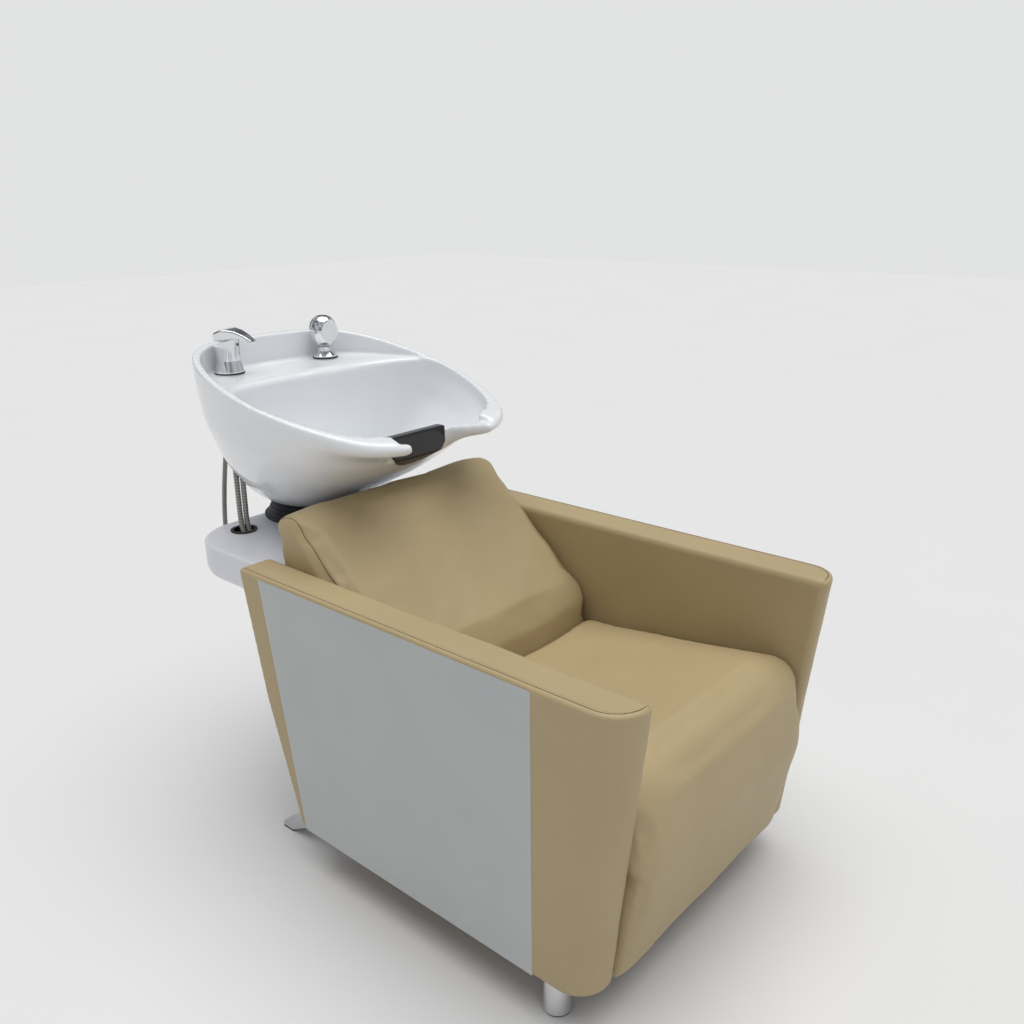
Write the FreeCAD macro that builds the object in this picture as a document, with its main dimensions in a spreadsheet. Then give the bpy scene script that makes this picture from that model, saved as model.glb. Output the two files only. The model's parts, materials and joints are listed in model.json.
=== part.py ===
# Salon backwash chair: armchair seat, reclined back, rear platform and tilting ceramic wash bowl.
# Frame: +Z up, the sitter faces -Y, X = 0 is the middle, origin on the floor under the middle.
# Lengths are millimetres and angles are degrees.
import FreeCAD
import Part

import math
import os
import re

import Sketcher
from FreeCAD import Vector

DOC = FreeCAD.newDocument("WashChair")
SHEET = DOC.addObject("Spreadsheet::Sheet", "Sizes")

# Driving sizes: alias, value, meaning.
DRIVING = [
    ("overall_width", 700, "outside to outside of the arms"),
    ("gap_fine", 0.4, "gap between soft pieces and their neighbours"),
    ("overrun", 5, "how far a cutter passes a face"),
    # Arms
    ("arm_thick", 76, "thickness of an arm"),
    ("arm_top", 620, "height of the arm's top"),
    ("leg_height", 95, "floor to the arm's lower edge"),
    ("arm_top_reach", 878, "length of the arm along its top"),
    ("arm_front_rake", 56, "how far the front edge runs back towards its foot"),
    ("arm_back_rake", 119, "how far the back edge runs forward towards its foot"),
    ("arm_back_bulge", 13, "bulge of the back edge at half height"),
    ("arm_corner_round", 60, "round of the front outer corner"),
    ("arm_edge_round", 6, "round of the top outer edge"),
    ("arm_inner_round", 14, "round of the top inner edge"),
    ("arm_core_thick", 40, "thickness of the plywood core"),
    ("arm_core_front", 40, "padding in front of the core"),
    ("arm_core_top", 22, "padding over the core"),
    ("arm_core_back", 24, "padding behind the core"),
    ("panel_thick", 4, "thickness of the grey side panel"),
    ("panel_setback", 163, "arm's front tip to the panel's front edge"),
    ("panel_strip_top", 60, "leather strip behind the panel at the top"),
    ("panel_strip_foot", 12, "leather strip behind the panel at the foot"),
    ("panel_below_top", 7, "arm's top to the panel's top edge"),
    ("panel_seam", 0.3, "seam gap round the panel"),
    # Seat
    ("seat_side_gap", 4.5, "seat and back cushions to the arm, each side"),
    ("seat_back_top", 405, "height of the seat's top at its rear"),
    ("seat_nose_top", 470, "height of the seat's front corner"),
    ("seat_nose_setback", 40.5, "arm's front tip to the seat's front corner"),
    ("seat_belly_setback", 5.5, "arm's front tip to the fullest point of the seat front"),
    ("seat_belly_z", 325, "height of the fullest point"),
    ("seat_hem_setback", 51.5, "arm's front tip to the front hem"),
    ("seat_hem_drop", 3, "front hem below the arm's lower edge"),
    ("seat_nose_round", 52, "round of the front corner"),
    ("seat_belly_round", 150, "round of the seat front"),
    ("seat_crown", 8, "how much lower the cushion is at its seams"),
    ("seat_front_thick", 44, "thickness of the padding on the front"),
    ("board_top", 300, "height of the seat board's top"),
    ("board_thick", 18, "seat and back board thickness"),
    ("front_board_thick", 15, "front board thickness"),
    ("bulkhead_lead", 225.5, "rear face of the bulkhead to the arm's rear top corner"),
    ("bulkhead_thick", 15, "thickness of the bulkhead"),
    # Back
    ("back_foot_lead", 360, "foot of the back cushion to the arm's rear top corner"),
    ("back_knee_lead", 352.5, "lower corner of the back's face to the arm's rear top corner"),
    ("back_knee_rise", 63, "lower corner of the back's face above the seat's rear"),
    ("back_head_lead", 73.5, "top corner of the face to the arm's rear top corner"),
    ("back_head_rise", 105, "top corner of the face above the arms"),
    ("back_crest_lead", 9.5, "rear top corner to the arm's rear top corner"),
    ("back_crest_rise", 86, "rear top corner above the arms"),
    ("back_heel_lead", 28.5, "rear lower corner to the arm's rear top corner"),
    ("back_heel_drop", 23, "rear lower corner below the arms' top"),
    ("back_knee_round", 70, "round of the lower corner"),
    ("back_head_round", 44, "round of the rolled top"),
    ("back_crest_round", 26, "round of the rear top corner"),
    ("back_crown", 6, "how much lower the back cushion is at its seams"),
    ("back_board_inset", 39.5, "side of the back cushion to its board"),
    # Steel frame
    ("rail_size", 30, "square tube of the base"),
    ("rail_lift", 2, "base rails above the arm's lower edge"),
    ("rear_rail_deep", 26, "depth of the rear base rail"),
    ("rail_rear_lead", 140.5, "rear end of the base to the arm's rear top corner"),
    ("upright_gap", 30, "arm's inner face to an upright"),
    ("upright_wide", 39, "width of uprights and platform beams"),
    ("upright_deep", 34, "depth of an upright"),
    ("rear_panel_thick", 9, "rear access panel"),
    ("rear_panel_inset", 12, "arm's back edge to the panel"),
    ("rear_panel_drop", 150, "top of the rear access panel below the arms' top"),
    ("beam_drop", 72, "underside of the beams below the platform's top"),
    ("beam_tall", 28, "height of the platform beams"),
    ("beam_rear_reach", 22, "tilt axis to the rear end of a beam"),
    # Legs
    ("leg_radius", 25, "front leg"),
    ("leg_flare_radius", 31, "flange at the top of a front leg"),
    ("leg_flange", 5, "thickness of that flange"),
    ("leg_inset", 50, "arm's outer face to the front leg's axis"),
    ("leg_setback", 150, "arm's front tip to the leg axis"),
    ("glide_thick", 4, "plastic glide and rubber pad under a leg"),
    ("toe_wide", 27, "width of the raked rear foot"),
    ("toe_inset", 0, "arm's inner face to the rear foot"),
    ("toe_tip_behind", 24, "rear tip of the rear foot behind the arm's rear top corner"),
    ("toe_root_lead", 120.5, "rear of the root of the rear foot to the arm's rear top corner"),
    ("toe_root_long", 42, "length of that root"),
    ("toe_pad_long", 31, "length of the rear foot on the floor"),
    ("toe_nose", 9, "height of the rear foot's tip"),
    # Platform
    ("tray_inset", 60, "arm's outer face to the platform's side"),
    ("tongue_gap", 2, "arm's inner face to the platform between the arms"),
    ("tray_front_lead", 10.5, "front edge of the platform to the arm's rear top corner"),
    ("tray_wide_gap", 5.5, "arm's rear top corner to the wide part of the platform"),
    ("tray_rear_reach", 76.5, "tilt axis to the rear edge of the platform"),
    ("tray_drop", 20, "platform's top below the arms' top"),
    ("tray_deep", 80, "height of the platform's side"),
    ("tray_corner", 112, "plan round of the rear corners"),
    ("tray_top_round", 7, "round of the top edge"),
    ("tray_under_round", 30, "round of the lower edge"),
    ("tray_wall", 5, "wall of the platform shell"),
    ("hatch_side", 22, "platform beside the front opening"),
    ("tray_cover_inset", 58, "edge to the underside cover"),
    ("tray_cover_thick", 3, "underside cover"),
    ("hose_hole_inset", 104, "platform's side to the hose hole"),
    ("hose_hole_behind", 8, "hose hole behind the tilt axis"),
    ("hose_hole_radius", 25, "hose hole"),
    ("grommet_rim", 3, "width and height of the grommet's rim"),
    # Bowl shell
    ("bowl_inset", 79, "arm's outer face to the bowl's side"),
    ("bowl_mid_lead", 155.5, "widest place of the bowl in front of the tilt axis"),
    ("bowl_front_reach", 292.5, "widest place to the front tips"),
    ("bowl_tall", 279.8, "bowl's foot to the rim at the widest place"),
    ("bowl_foot_rise", 26, "bowl's foot above the tilt axis"),
    ("bowl_rim_tilt", 13.15, "rise of the rim towards the back, degrees"),
    ("bowl_wall", 14, "wall at the sides and the back"),
    ("bowl_front_wall", 36, "thickness of the front lip"),
    ("bowl_foot_shift", 127.5, "middle of the foot behind the widest place"),
    ("basin_floor_rise", 27, "basin's floor above the bowl's foot"),
    ("basin_back_lead", 38, "rear edge of the basin in front of the tilt axis"),
    ("deck_rise", 4.2, "tap deck above the rim at the widest place"),
    ("deck_thick", 13, "thickness of the tap deck"),
    ("cavity_rise", 51, "floor of the hollow behind the basin, above the bowl's foot"),
    ("cavity_inset", 16, "outside of the bowl to that hollow"),
    ("cavity_skin", 12, "ceramic between the basin and that hollow"),
    ("service_inset", 149, "bowl's side to the rear service opening"),
    ("service_drop", 70, "upper edge of the service opening below the deck"),
    ("service_round", 30, "round of its corners"),
    ("notch_half", 78, "half width of the neck notch"),
    ("notch_face_lead", 348, "front face of the notch's lip in front of the tilt axis"),
    ("notch_lip_deep", 13, "thickness of that lip"),
    ("notch_wall", 18, "ceramic beside the notch"),
    ("notch_drop", 86.8, "top of the notch's lip below the rim at the widest place"),
    ("notch_lip_tall", 39, "height of the rolled lip"),
    ("notch_flare", 34, "how much wider the notch is at its mouth, each side"),
    ("horn_rise", 17, "bowl's front tips above the notch's lip"),
    ("lip_round", 10, "round of the lip's edges"),
    ("neck_half", 74, "half width of the neck rest"),
    ("neck_thick", 5, "rubber of the neck rest"),
    ("neck_drop", 67, "top of the lip to the flap's lower edge in the middle"),
    ("neck_end_drop", 29, "top of the lip to the flap's lower edge at its ends"),
    ("neck_round", 3, "round of the neck rest's upper edges"),
    ("neck_hook", 14, "how far it hangs down behind the lip"),
    # Tilt mechanism
    ("pivot_behind", 217.5, "arm's rear top corner to the tilt axis"),
    ("bowl_overhang", 139.5, "tilt axis to the back of the bowl"),
    ("pivot_rise", 10, "tilt axis above the platform"),
    ("pin_radius", 6, "tilt pin"),
    ("pin_slack", 0.05, "running clearance on the tilt pin"),
    ("pin_head_radius", 10, "head and nut of the tilt pin"),
    ("pin_head_long", 7, "length of the pin's head"),
    ("nut_long", 10, "length of the pin's nut"),
    ("pin_stub", 4, "thread standing out of the nut"),
    ("ear_inner", 50, "inner face of the cradle's ear"),
    ("ear_thick", 6, "thickness of the ears"),
    ("ear_radius", 16, "round end of the ears"),
    ("washer_thick", 1.4, "friction washer"),
    ("washer_gap", 0.3, "air at each side of the washer"),
    ("cradle_radius", 80, "cradle disc under the bowl"),
    ("cradle_thick", 6, "cradle disc"),
    ("buffer_thick", 3, "rubber buffer between cradle and bowl"),
    ("buffer_radius", 13, "rubber buffer"),
    ("bolt_radius", 4, "bowl bolt"),
    ("bolt_head_radius", 7, "head of the bowl bolt"),
    ("bolt_head_thick", 5, "head of the bowl bolt"),
    ("bolt_bite", 20, "length of the bolt inside the ceramic"),
    ("bolt_x", 62, "bowl bolts from the middle"),
    ("bolt_spread", 28, "bowl bolts before and behind the tilt axis"),
    ("yoke_front_reach", 26, "tilt axis to the front edge of the yoke plate"),
    ("yoke_rear_reach", 42, "tilt axis to the rear edge of the yoke plate"),
    ("yoke_thick", 6, "yoke plate"),
    ("boot_base_radius", 113, "flange of the rubber boot"),
    ("boot_waist_radius", 99, "waist of the boot"),
    ("boot_fold_radius", 107, "upper fold of the boot"),
    ("boot_lip_radius", 86, "top lip of the boot"),
    ("boot_wall", 3, "rubber of the boot"),
    ("boot_top_drop", 10, "top of the boot below the bowl's foot"),
    ("boot_hole_radius", 94, "hole in the platform under the boot"),
    # Waste
    ("waste_lead", 50, "waste outlet in front of the tilt axis"),
    ("waste_flange_radius", 31, "chrome flange in the basin"),
    ("waste_flange_thick", 3, "chrome flange"),
    ("waste_tail_radius", 20, "waste tail pipe"),
    ("waste_tail_wall", 2, "wall of the tail pipe"),
    ("waste_tail_drop", 6, "lower end of the tail pipe below the tilt axis"),
    ("waste_nut_radius", 29, "back nut under the bowl"),
    ("waste_nut_thick", 8, "back nut"),
    ("waste_gasket_thick", 2, "rubber gasket"),
    ("strainer_radius", 17, "lift-out strainer"),
    ("strainer_deep", 16, "lift-out strainer"),
    ("strainer_hole_radius", 2.5, "holes in the strainer"),
    ("strainer_slack", 0.4, "strainer to the tail pipe"),
    ("outlet_radius", 19.05, "spigot of the rigid waste outlet, one and a half inch pipe"),
    ("outlet_long", 34, "length of that spigot"),
    ("outlet_drop", 41, "lower end of the rigid waste outlet below the bracket's top"),
    ("outlet_rise", 47, "end of the waste hose above the bracket's top"),
    ("outlet_collar", 4, "collar of the outlet, width and height"),
    # Mixer
    ("tap_inset", 144, "bowl's side to the mixer and to the shower holder"),
    ("tap_behind", 84, "mixer and shower holder behind the tilt axis"),
    ("tap_hole_radius", 17, "holes in the deck"),
    ("gasket_radius", 31, "mixer gasket"),
    ("gasket_thick", 3, "deck gaskets"),
    ("mixer_base_radius", 30, "mixer body at its foot"),
    ("mixer_waist_radius", 25, "mixer body at its waist"),
    ("mixer_head_radius", 27, "mixer body at its top"),
    ("mixer_tall", 70, "mixer body"),
    ("mixer_bore", 18, "bore for the cartridge"),
    ("shank_radius", 16, "threaded shank below the deck"),
    ("shank_wall", 2.5, "wall of the shank"),
    ("shank_long", 44, "shank below the deck's top"),
    ("deck_nut_radius", 24, "nut under the deck"),
    ("deck_nut_thick", 8, "nut under the deck"),
    ("mixer_bore_deep", 46, "depth of that bore"),
    ("mixer_slant", 13, "how much lower the body's top is at its rear"),
    ("cartridge_tall", 32, "ceramic disc cartridge"),
    ("knuckle_radius", 17.4, "round knuckle that carries the lever"),
    ("knuckle_drop", 6, "lever's pivot below the body's top"),
    ("knuckle_skirt", 7, "straight part under the knuckle"),
    ("lever_turn", 23, "lever turned from straight forward, degrees"),
    ("lever_reach", 67, "mixer axis to the lever's tip"),
    ("lever_rise", 20, "top of the lever above the mixer body"),
    ("lever_drop", 9.5, "lever's tip below the top of the mixer body"),
    ("lever_skirt", 4.8, "rear of the lever below the top of the mixer body"),
    ("lever_tip_half", 10.5, "half width of the lever's tip"),
    ("lever_gap", 1.4, "lever to the front of the body's top"),
    ("knuckle_gap", 0.5, "lever to its knuckle"),
    ("lever_pin_radius", 2, "pin on which the lever lifts"),
    ("lever_pin_half", 16, "half length of that pin"),
    ("index_radius", 3, "index dot on the mixer body"),
    ("index_thick", 1, "index dot"),
    # Hand shower
    ("holder_base_radius", 27, "shower holder at its foot"),
    ("holder_top_radius", 15, "shower holder at its top"),
    ("holder_tall", 22, "shower holder"),
    ("holder_bore", 8.5, "bore of the holder"),
    ("head_radius", 31.5, "egg-shaped shower head"),
    ("head_tall", 70, "egg-shaped shower head"),
    ("head_neck_radius", 8, "neck of the shower head"),
    ("head_neck_long", 48, "neck below the egg"),
    ("face_radius", 23, "spray face"),
    ("face_thick", 2, "spray face"),
    ("nozzle_radius", 1.1, "nozzles of the spray face"),
    # Hoses
    ("supply_radius", 5.5, "hot and cold hose"),
    ("shower_hose_radius", 5, "shower hose"),
    ("inlet_nut_radius", 14, "swivel nut at the end of a supply hose"),
    ("inlet_nut_long", 24, "swivel nut"),
    ("inlet_bore", 9.5, "thread bore of the swivel nut"),
    ("inlet_bore_deep", 14, "depth of the thread bore"),
    ("inlet_neck_radius", 8, "neck of the swivel nut, through the bracket"),
    ("service_lead", 198.5, "service pipes to the arm's rear top corner"),
    ("hot_inlet_x", 80, "hot inlet from the middle"),
    ("cold_inlet_x", 45, "cold inlet from the middle"),
    ("bracket_rise", 26, "top of the bracket for the pipes above the base rails"),
    ("bracket_thick", 3, "plate of that bracket"),
    ("bracket_near", 105, "edge of the bracket beside the hot inlet"),
    ("bracket_far", 30, "edge of the bracket beside the waste outlet"),
    ("bracket_space", 10, "waste outlet to the bracket's wall"),
    ("bracket_lead", 24, "front edge of the bracket's shelf in front of the pipes"),
    ("port_radius", 17, "slanted hose port in the bowl"),
    ("port_rise", 41, "lower end of the hose ports above the bowl's foot"),
    ("port_inset", 89, "bowl's side to the lower end of the hose port"),
    ("port_behind", 7, "lower end of the hose port behind the tilt axis"),
    ("port_drop", 118, "upper end of the hose port below the deck"),
    ("port_end_inset", 115, "bowl's side to the upper end of the hose port"),
    ("port_end_lead", 34, "upper end of the hose port in front of the taps"),
    ("side_port_radius", 11, "shower hose port"),
    ("side_port_inset", 97, "bowl's side to the lower end of the shower hose port"),
    ("side_port_drop", 108, "upper end of the shower hose port below the deck"),
    ("side_port_end_inset", 124, "bowl's side to the upper end of the shower hose port"),
    ("screw_radius", 4, "screw heads on the rear panel"),
    ("screw_thick", 2, "screw heads on the rear panel"),
]

# Sizes worked out from the driving ones.
DERIVED = [
    ("overall_length", "arm_top_reach + pivot_behind + bowl_overhang"),
    ("arm_outer", "overall_width / 2"),
    ("arm_inner", "arm_outer - arm_thick"),
    ("front_y", "-overall_length / 2"),
    ("arm_back_top_y", "front_y + arm_top_reach"),
    ("arm_back_foot_y", "arm_back_top_y - arm_back_rake"),
    ("arm_front_foot_y", "front_y + arm_front_rake"),
    ("arm_mid_z", "(arm_top + arm_foot) / 2"),
    ("arm_back_mid_y", "(arm_back_top_y + arm_back_foot_y) / 2 + arm_back_bulge"),
    ("arm_core_gap", "(arm_thick - arm_core_thick) / 2"),
    ("back_slope", "arm_back_rake / (arm_top - arm_foot)"),
    ("cushion_half", "arm_inner - seat_side_gap"),
    ("board_under", "board_top - board_thick"),
    ("rail_top", "rail_base + rail_size"),
    ("beam_top", "beam_under + beam_tall"),
    ("tray_under", "tray_top - tray_deep"),
    ("yoke_top", "beam_top + yoke_thick"),
    ("cradle_top", "bowl_foot - buffer_thick"),
    ("cradle_under", "cradle_top - cradle_thick"),
    ("ear_gap", "washer_thick + 2 * washer_gap"),
    ("yoke_ear_inner", "ear_inner + ear_thick + ear_gap"),
    ("yoke_ear_outer", "yoke_ear_inner + ear_thick"),
    ("tap_seat", "deck_height + gasket_thick"),
    ("mixer_top", "tap_seat + mixer_tall"),
    ("lever_pivot_z", "mixer_top - knuckle_drop"),
    ("back_foot", "board_top + gap_fine"),
    ("seat_back_y", "back_foot_y + gap_fine"),
    ("back_run", "back_heel_y + back_foot_y"),
    ("back_rise", "back_heel - back_foot"),
    ("back_long", "sqrt(back_run ^ 2 + back_rise ^ 2)"),
    ("back_under", "back_foot - board_thick * back_long / back_run"),
    ("front_lean", "(seat_belly_y - seat_hem_y) * 2 / 3 / (board_top - seat_hem)"),
    ("front_board_foot_y", "-seat_hem_y + seat_front_thick - front_lean * (rail_base - seat_hem)"),
    ("front_board_head_y", "-seat_hem_y + seat_front_thick - front_lean * (board_under - seat_hem)"),
    ("rail_front_y", "front_board_foot_y + front_board_thick"),
    ("bracket_low", "rail_base"),
    ("leg_y", "front_y + leg_setback"),
    ("bowl_back_y", "pivot_y + bowl_overhang"),
    ("upright_out", "arm_inner - upright_gap"),
    ("pivot_y", "arm_back_top_y + pivot_behind"),
    ("seat_nose_y", "-front_y - seat_nose_setback"),
    ("seat_belly_y", "-front_y - seat_belly_setback"),
    ("seat_hem_y", "-front_y - seat_hem_setback"),
    ("bulkhead_y", "arm_back_top_y - bulkhead_lead"),
    ("back_foot_y", "back_foot_lead - arm_back_top_y"),
    ("back_knee_y", "back_knee_lead - arm_back_top_y"),
    ("back_head_y", "arm_back_top_y - back_head_lead"),
    ("back_crest_y", "arm_back_top_y - back_crest_lead"),
    ("back_heel_y", "arm_back_top_y - back_heel_lead"),
    ("rail_rear", "arm_back_top_y - rail_rear_lead"),
    ("rail_inner_y", "rail_rear - rear_rail_deep"),
    ("toe_tip_y", "arm_back_top_y + toe_tip_behind"),
    ("toe_root_y", "arm_back_top_y - toe_root_lead"),
    ("service_y", "arm_back_top_y - service_lead"),
    ("tray_front", "arm_back_top_y - tray_front_lead"),
    ("tray_wide_from", "arm_back_top_y + tray_wide_gap"),
    ("tray_rear", "pivot_y + tray_rear_reach"),
    ("beam_rear", "pivot_y + beam_rear_reach"),
    ("yoke_front", "pivot_y - yoke_front_reach"),
    ("yoke_rear", "pivot_y + yoke_rear_reach"),
    ("waste_y", "pivot_y - waste_lead"),
    ("hose_hole_y", "pivot_y + hose_hole_behind"),
    ("tap_y", "pivot_y + tap_behind"),
    ("port_y", "pivot_y + port_behind"),
    ("port_end_y", "tap_y - port_end_lead"),
    ("bowl_mid_y", "pivot_y - bowl_mid_lead"),
    ("basin_back_y", "pivot_y - basin_back_lead"),
    ("notch_face_y", "pivot_y - notch_face_lead"),
    ("bracket_front", "service_y - bracket_lead"),
    ("upright_in", "upright_out - upright_wide"),
    ("yoke_half", "upright_out"),
    ("leg_x", "arm_outer - leg_inset"),
    ("toe_inner", "arm_inner + toe_inset"),
    ("tray_half", "arm_outer - tray_inset"),
    ("tray_tongue_half", "arm_inner - tongue_gap"),
    ("tray_hatch_half", "tray_tongue_half - hatch_side"),
    ("back_board_half", "cushion_half - back_board_inset"),
    ("bowl_half_width", "arm_outer - bowl_inset"),
    ("hose_hole_x", "tray_half - hose_hole_inset"),
    ("tap_x", "bowl_half_width - tap_inset"),
    ("port_x", "bowl_half_width - port_inset"),
    ("port_end_x", "bowl_half_width - port_end_inset"),
    ("side_port_x", "bowl_half_width - side_port_inset"),
    ("side_port_end_x", "bowl_half_width - side_port_end_inset"),
    ("service_half", "bowl_half_width - service_inset"),
    ("arm_foot", "leg_height"),
    ("seat_hem", "arm_foot - seat_hem_drop"),
    ("rail_base", "arm_foot + rail_lift"),
    ("back_head", "arm_top + back_head_rise"),
    ("back_crest", "arm_top + back_crest_rise"),
    ("back_heel", "arm_top - back_heel_drop"),
    ("back_knee", "seat_back_top + back_knee_rise"),
    ("tray_top", "arm_top - tray_drop"),
    ("beam_under", "tray_top - beam_drop"),
    ("rear_panel_top", "arm_top - rear_panel_drop"),
    ("pivot_z", "tray_top + pivot_rise"),
    ("bowl_foot", "pivot_z + bowl_foot_rise"),
    ("bowl_rim_mid", "bowl_foot + bowl_tall"),
    ("basin_floor", "bowl_foot + basin_floor_rise"),
    ("deck_height", "bowl_rim_mid + deck_rise"),
    ("cavity_floor", "bowl_foot + cavity_rise"),
    ("service_high", "deck_height - service_drop"),
    ("notch_lip_top", "bowl_rim_mid - notch_drop"),
    ("boot_top", "bowl_foot - boot_top_drop"),
    ("waste_tail_end", "pivot_z - waste_tail_drop"),
    ("port_low", "bowl_foot + port_rise"),
    ("port_high", "deck_height - port_drop"),
    ("side_port_high", "deck_height - side_port_drop"),
    ("bracket_top", "rail_top + bracket_rise"),
    ("outlet_low", "bracket_top - outlet_drop"),
    ("outlet_high", "bracket_top + outlet_rise"),
    ("outlet_shoulder", "outlet_low + outlet_long"),
]

PARTS = []


def fill_sheet():
    row = 1
    for alias, value, meaning in DRIVING:
        SHEET.set(f"A{row}", meaning)
        SHEET.set(f"B{row}", str(value))
        SHEET.setAlias(f"B{row}", alias)
        row += 1
    for alias, formula in DERIVED:
        SHEET.set(f"A{row}", formula)
        SHEET.set(f"B{row}", "=" + formula)
        SHEET.setAlias(f"B{row}", alias)
        row += 1
    DOC.recompute()


def size(alias):
    return float(SHEET.get(alias))


WORDS = {alias for alias, _, _ in DRIVING} | {alias for alias, _ in DERIVED}


def bind(formula):
    """The formula with each sheet alias written the way an expression needs it."""
    return re.sub(r"[a-z_]+", lambda word: "Sizes." + word[0] if word[0] in WORDS else word[0], formula)


def place(thing, at, turn=None):
    if turn is not None:
        thing.Placement = FreeCAD.Placement(Vector(0, 0, 0), turn)
    for axis, formula in zip("xyz", at):
        thing.setExpression(f".Placement.Base.{axis}", bind(formula))


def keep(thing, label):
    thing.Label = label
    PARTS.append(thing)
    return thing


# Turns that lay a cylinder, whose own axis is Z, along another axis.
ALONG = {
    "+x": FreeCAD.Rotation(Vector(0, 1, 0), 90),
    "-x": FreeCAD.Rotation(Vector(0, 1, 0), -90),
    "+y": FreeCAD.Rotation(Vector(1, 0, 0), -90),
    "-y": FreeCAD.Rotation(Vector(1, 0, 0), 90),
    "+z": FreeCAD.Rotation(),
}


def block(name, x_span, y_span, z_span):
    thing = DOC.addObject("Part::Box", name)
    for side, span in zip(("Length", "Width", "Height"), (x_span, y_span, z_span)):
        thing.setExpression(side, bind(f"({span[1]}) - ({span[0]})"))
    place(thing, (x_span[0], y_span[0], z_span[0]))
    return thing


def rod(name, radius, length, at, along="+z"):
    thing = DOC.addObject("Part::Cylinder", name)
    thing.setExpression("Radius", bind(radius))
    thing.setExpression("Height", bind(length))
    place(thing, at, ALONG[along] if isinstance(along, str) else along)
    return thing


def fuse(name, things):
    thing = DOC.addObject("Part::MultiFuse", name)
    thing.Shapes = things
    return thing


def cut(name, base, tools):
    thing = DOC.addObject("Part::Cut", name)
    thing.Base = base
    thing.Tool = tools[0] if len(tools) == 1 else fuse(name + "_cutter", tools)
    return thing


def group(name, things):
    thing = DOC.addObject("Part::Compound", name)
    thing.Links = things
    return thing


def custom(name, shape):
    thing = DOC.addObject("Part::Feature", name)
    thing.Shape = shape
    return thing


def mirrored(name, source):
    thing = DOC.addObject("Part::Mirroring", name)
    thing.Source = source
    thing.Normal = Vector(1, 0, 0)
    return thing


def start_sketch(body, role, name, offset=None):
    sketch = body.newObject("Sketcher::SketchObject", name)
    plane = [item for item in body.Origin.OriginFeatures if item.Role == role][0]
    sketch.AttachmentSupport = [(plane, "")]
    sketch.MapMode = "FlatFace"
    if offset is not None:
        sketch.setExpression(".AttachmentOffset.Base.z", bind(offset))
    return sketch


def draw_outline(sketch, corners):
    """A closed outline whose corners are held by formulas of the sheet."""
    count = len(corners)
    turns = [2 * math.pi * i / count for i in range(count)]
    ring = [Vector(math.cos(turn), math.sin(turn), 0) for turn in turns]
    for i in range(count):
        sketch.addGeometry(Part.LineSegment(ring[i], ring[(i + 1) % count]))
    for i in range(count):
        sketch.addConstraint(Sketcher.Constraint("Coincident", i, 2, (i + 1) % count, 1))
    for i, (across, up) in enumerate(corners):
        for kind, formula, now in (("DistanceX", across, ring[i].x), ("DistanceY", up, ring[i].y)):
            number = sketch.addConstraint(Sketcher.Constraint(kind, -1, 1, i, 1, now))
            sketch.setExpression(f"Constraints[{number}]", bind(formula))


def start_body(name):
    return DOC.addObject("PartDesign::Body", name)


def pad_outline(body, role, corners, length, offset=None, name="Outline"):
    sketch = start_sketch(body, role, body.Name + name, offset)
    draw_outline(sketch, corners)
    pad = body.newObject("PartDesign::Pad", body.Name + "Pad")
    pad.Profile = sketch
    pad.setExpression("Length", bind(length))
    DOC.recompute()
    return pad


def pocket_outline(body, role, corners, length, offset, reverse):
    sketch = start_sketch(body, role, body.Name + "PocketOutline", offset)
    draw_outline(sketch, corners)
    before = body.Shape.Volume
    pocket = body.newObject("PartDesign::Pocket", body.Name + "Pocket")
    pocket.Profile = sketch
    pocket.Reversed = reverse
    pocket.setExpression("Length", bind(length))
    DOC.recompute()
    if not pocket.Shape.Volume < before:
        raise RuntimeError(f"the pocket of {body.Name} removes nothing")
    return pocket


def revolve_outline(body, corners):
    """Turn an outline of (radius, height) corners once round the body's Z axis."""
    sketch = start_sketch(body, "XZ_Plane", body.Name + "Outline")
    draw_outline(sketch, corners)
    turn = body.newObject("PartDesign::Revolution", body.Name + "Turn")
    turn.Profile = sketch
    turn.ReferenceAxis = (sketch, ["V_Axis"])
    turn.Angle = 360
    DOC.recompute()
    return turn


def round_edges(body, base, radius, wanted):
    """Round the edges of the base feature for which the test wanted(edge) holds."""
    names = [f"Edge{i + 1}" for i, edge in enumerate(base.Shape.Edges) if wanted(edge)]
    if not names:
        raise RuntimeError(f"no edge to round on {body.Name}")
    fillet = body.newObject("PartDesign::Fillet", f"{body.Name}Round{len(body.Group)}")
    fillet.Base = (base, names)
    fillet.setExpression("Radius", bind(radius))
    DOC.recompute()
    return fillet


NEAR = 1e-3


def edge_inside(edge, low, high):
    """True if the edge lies in the box; None leaves a side of the box open."""
    box = edge.BoundBox
    spans = ((box.XMin, box.XMax), (box.YMin, box.YMax), (box.ZMin, box.ZMax))
    for (least, most), floor, roof in zip(spans, low, high):
        if floor is not None and least < floor - NEAR:
            return False
        if roof is not None and most > roof + NEAR:
            return False
    return True


def round_corner_wire(corners, x):
    """A closed wire in the plane X = x through (y, z, radius) corners, each rounded by its radius."""
    count = len(corners)
    starts = []
    ends = []
    middles = []
    for i, (y, z, radius) in enumerate(corners):
        here = Vector(x, y, z)
        before = Vector(x, corners[i - 1][0], corners[i - 1][1]) - here
        after = Vector(x, corners[(i + 1) % count][0], corners[(i + 1) % count][1]) - here
        before.normalize()
        after.normalize()
        half = before.getAngle(after) / 2
        cut_back = radius / math.tan(half)
        starts.append(here + before * cut_back)
        ends.append(here + after * cut_back)
        towards = before + after
        towards.normalize()
        middles.append(here + towards * (radius / math.sin(half) - radius))
    edges = []
    for i in range(count):
        if corners[i][2] > 0:
            edges.append(Part.Arc(starts[i], middles[i], ends[i]).toShape())
        edges.append(Part.LineSegment(ends[i], starts[(i + 1) % count]).toShape())
    return Part.Wire(edges)


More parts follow.
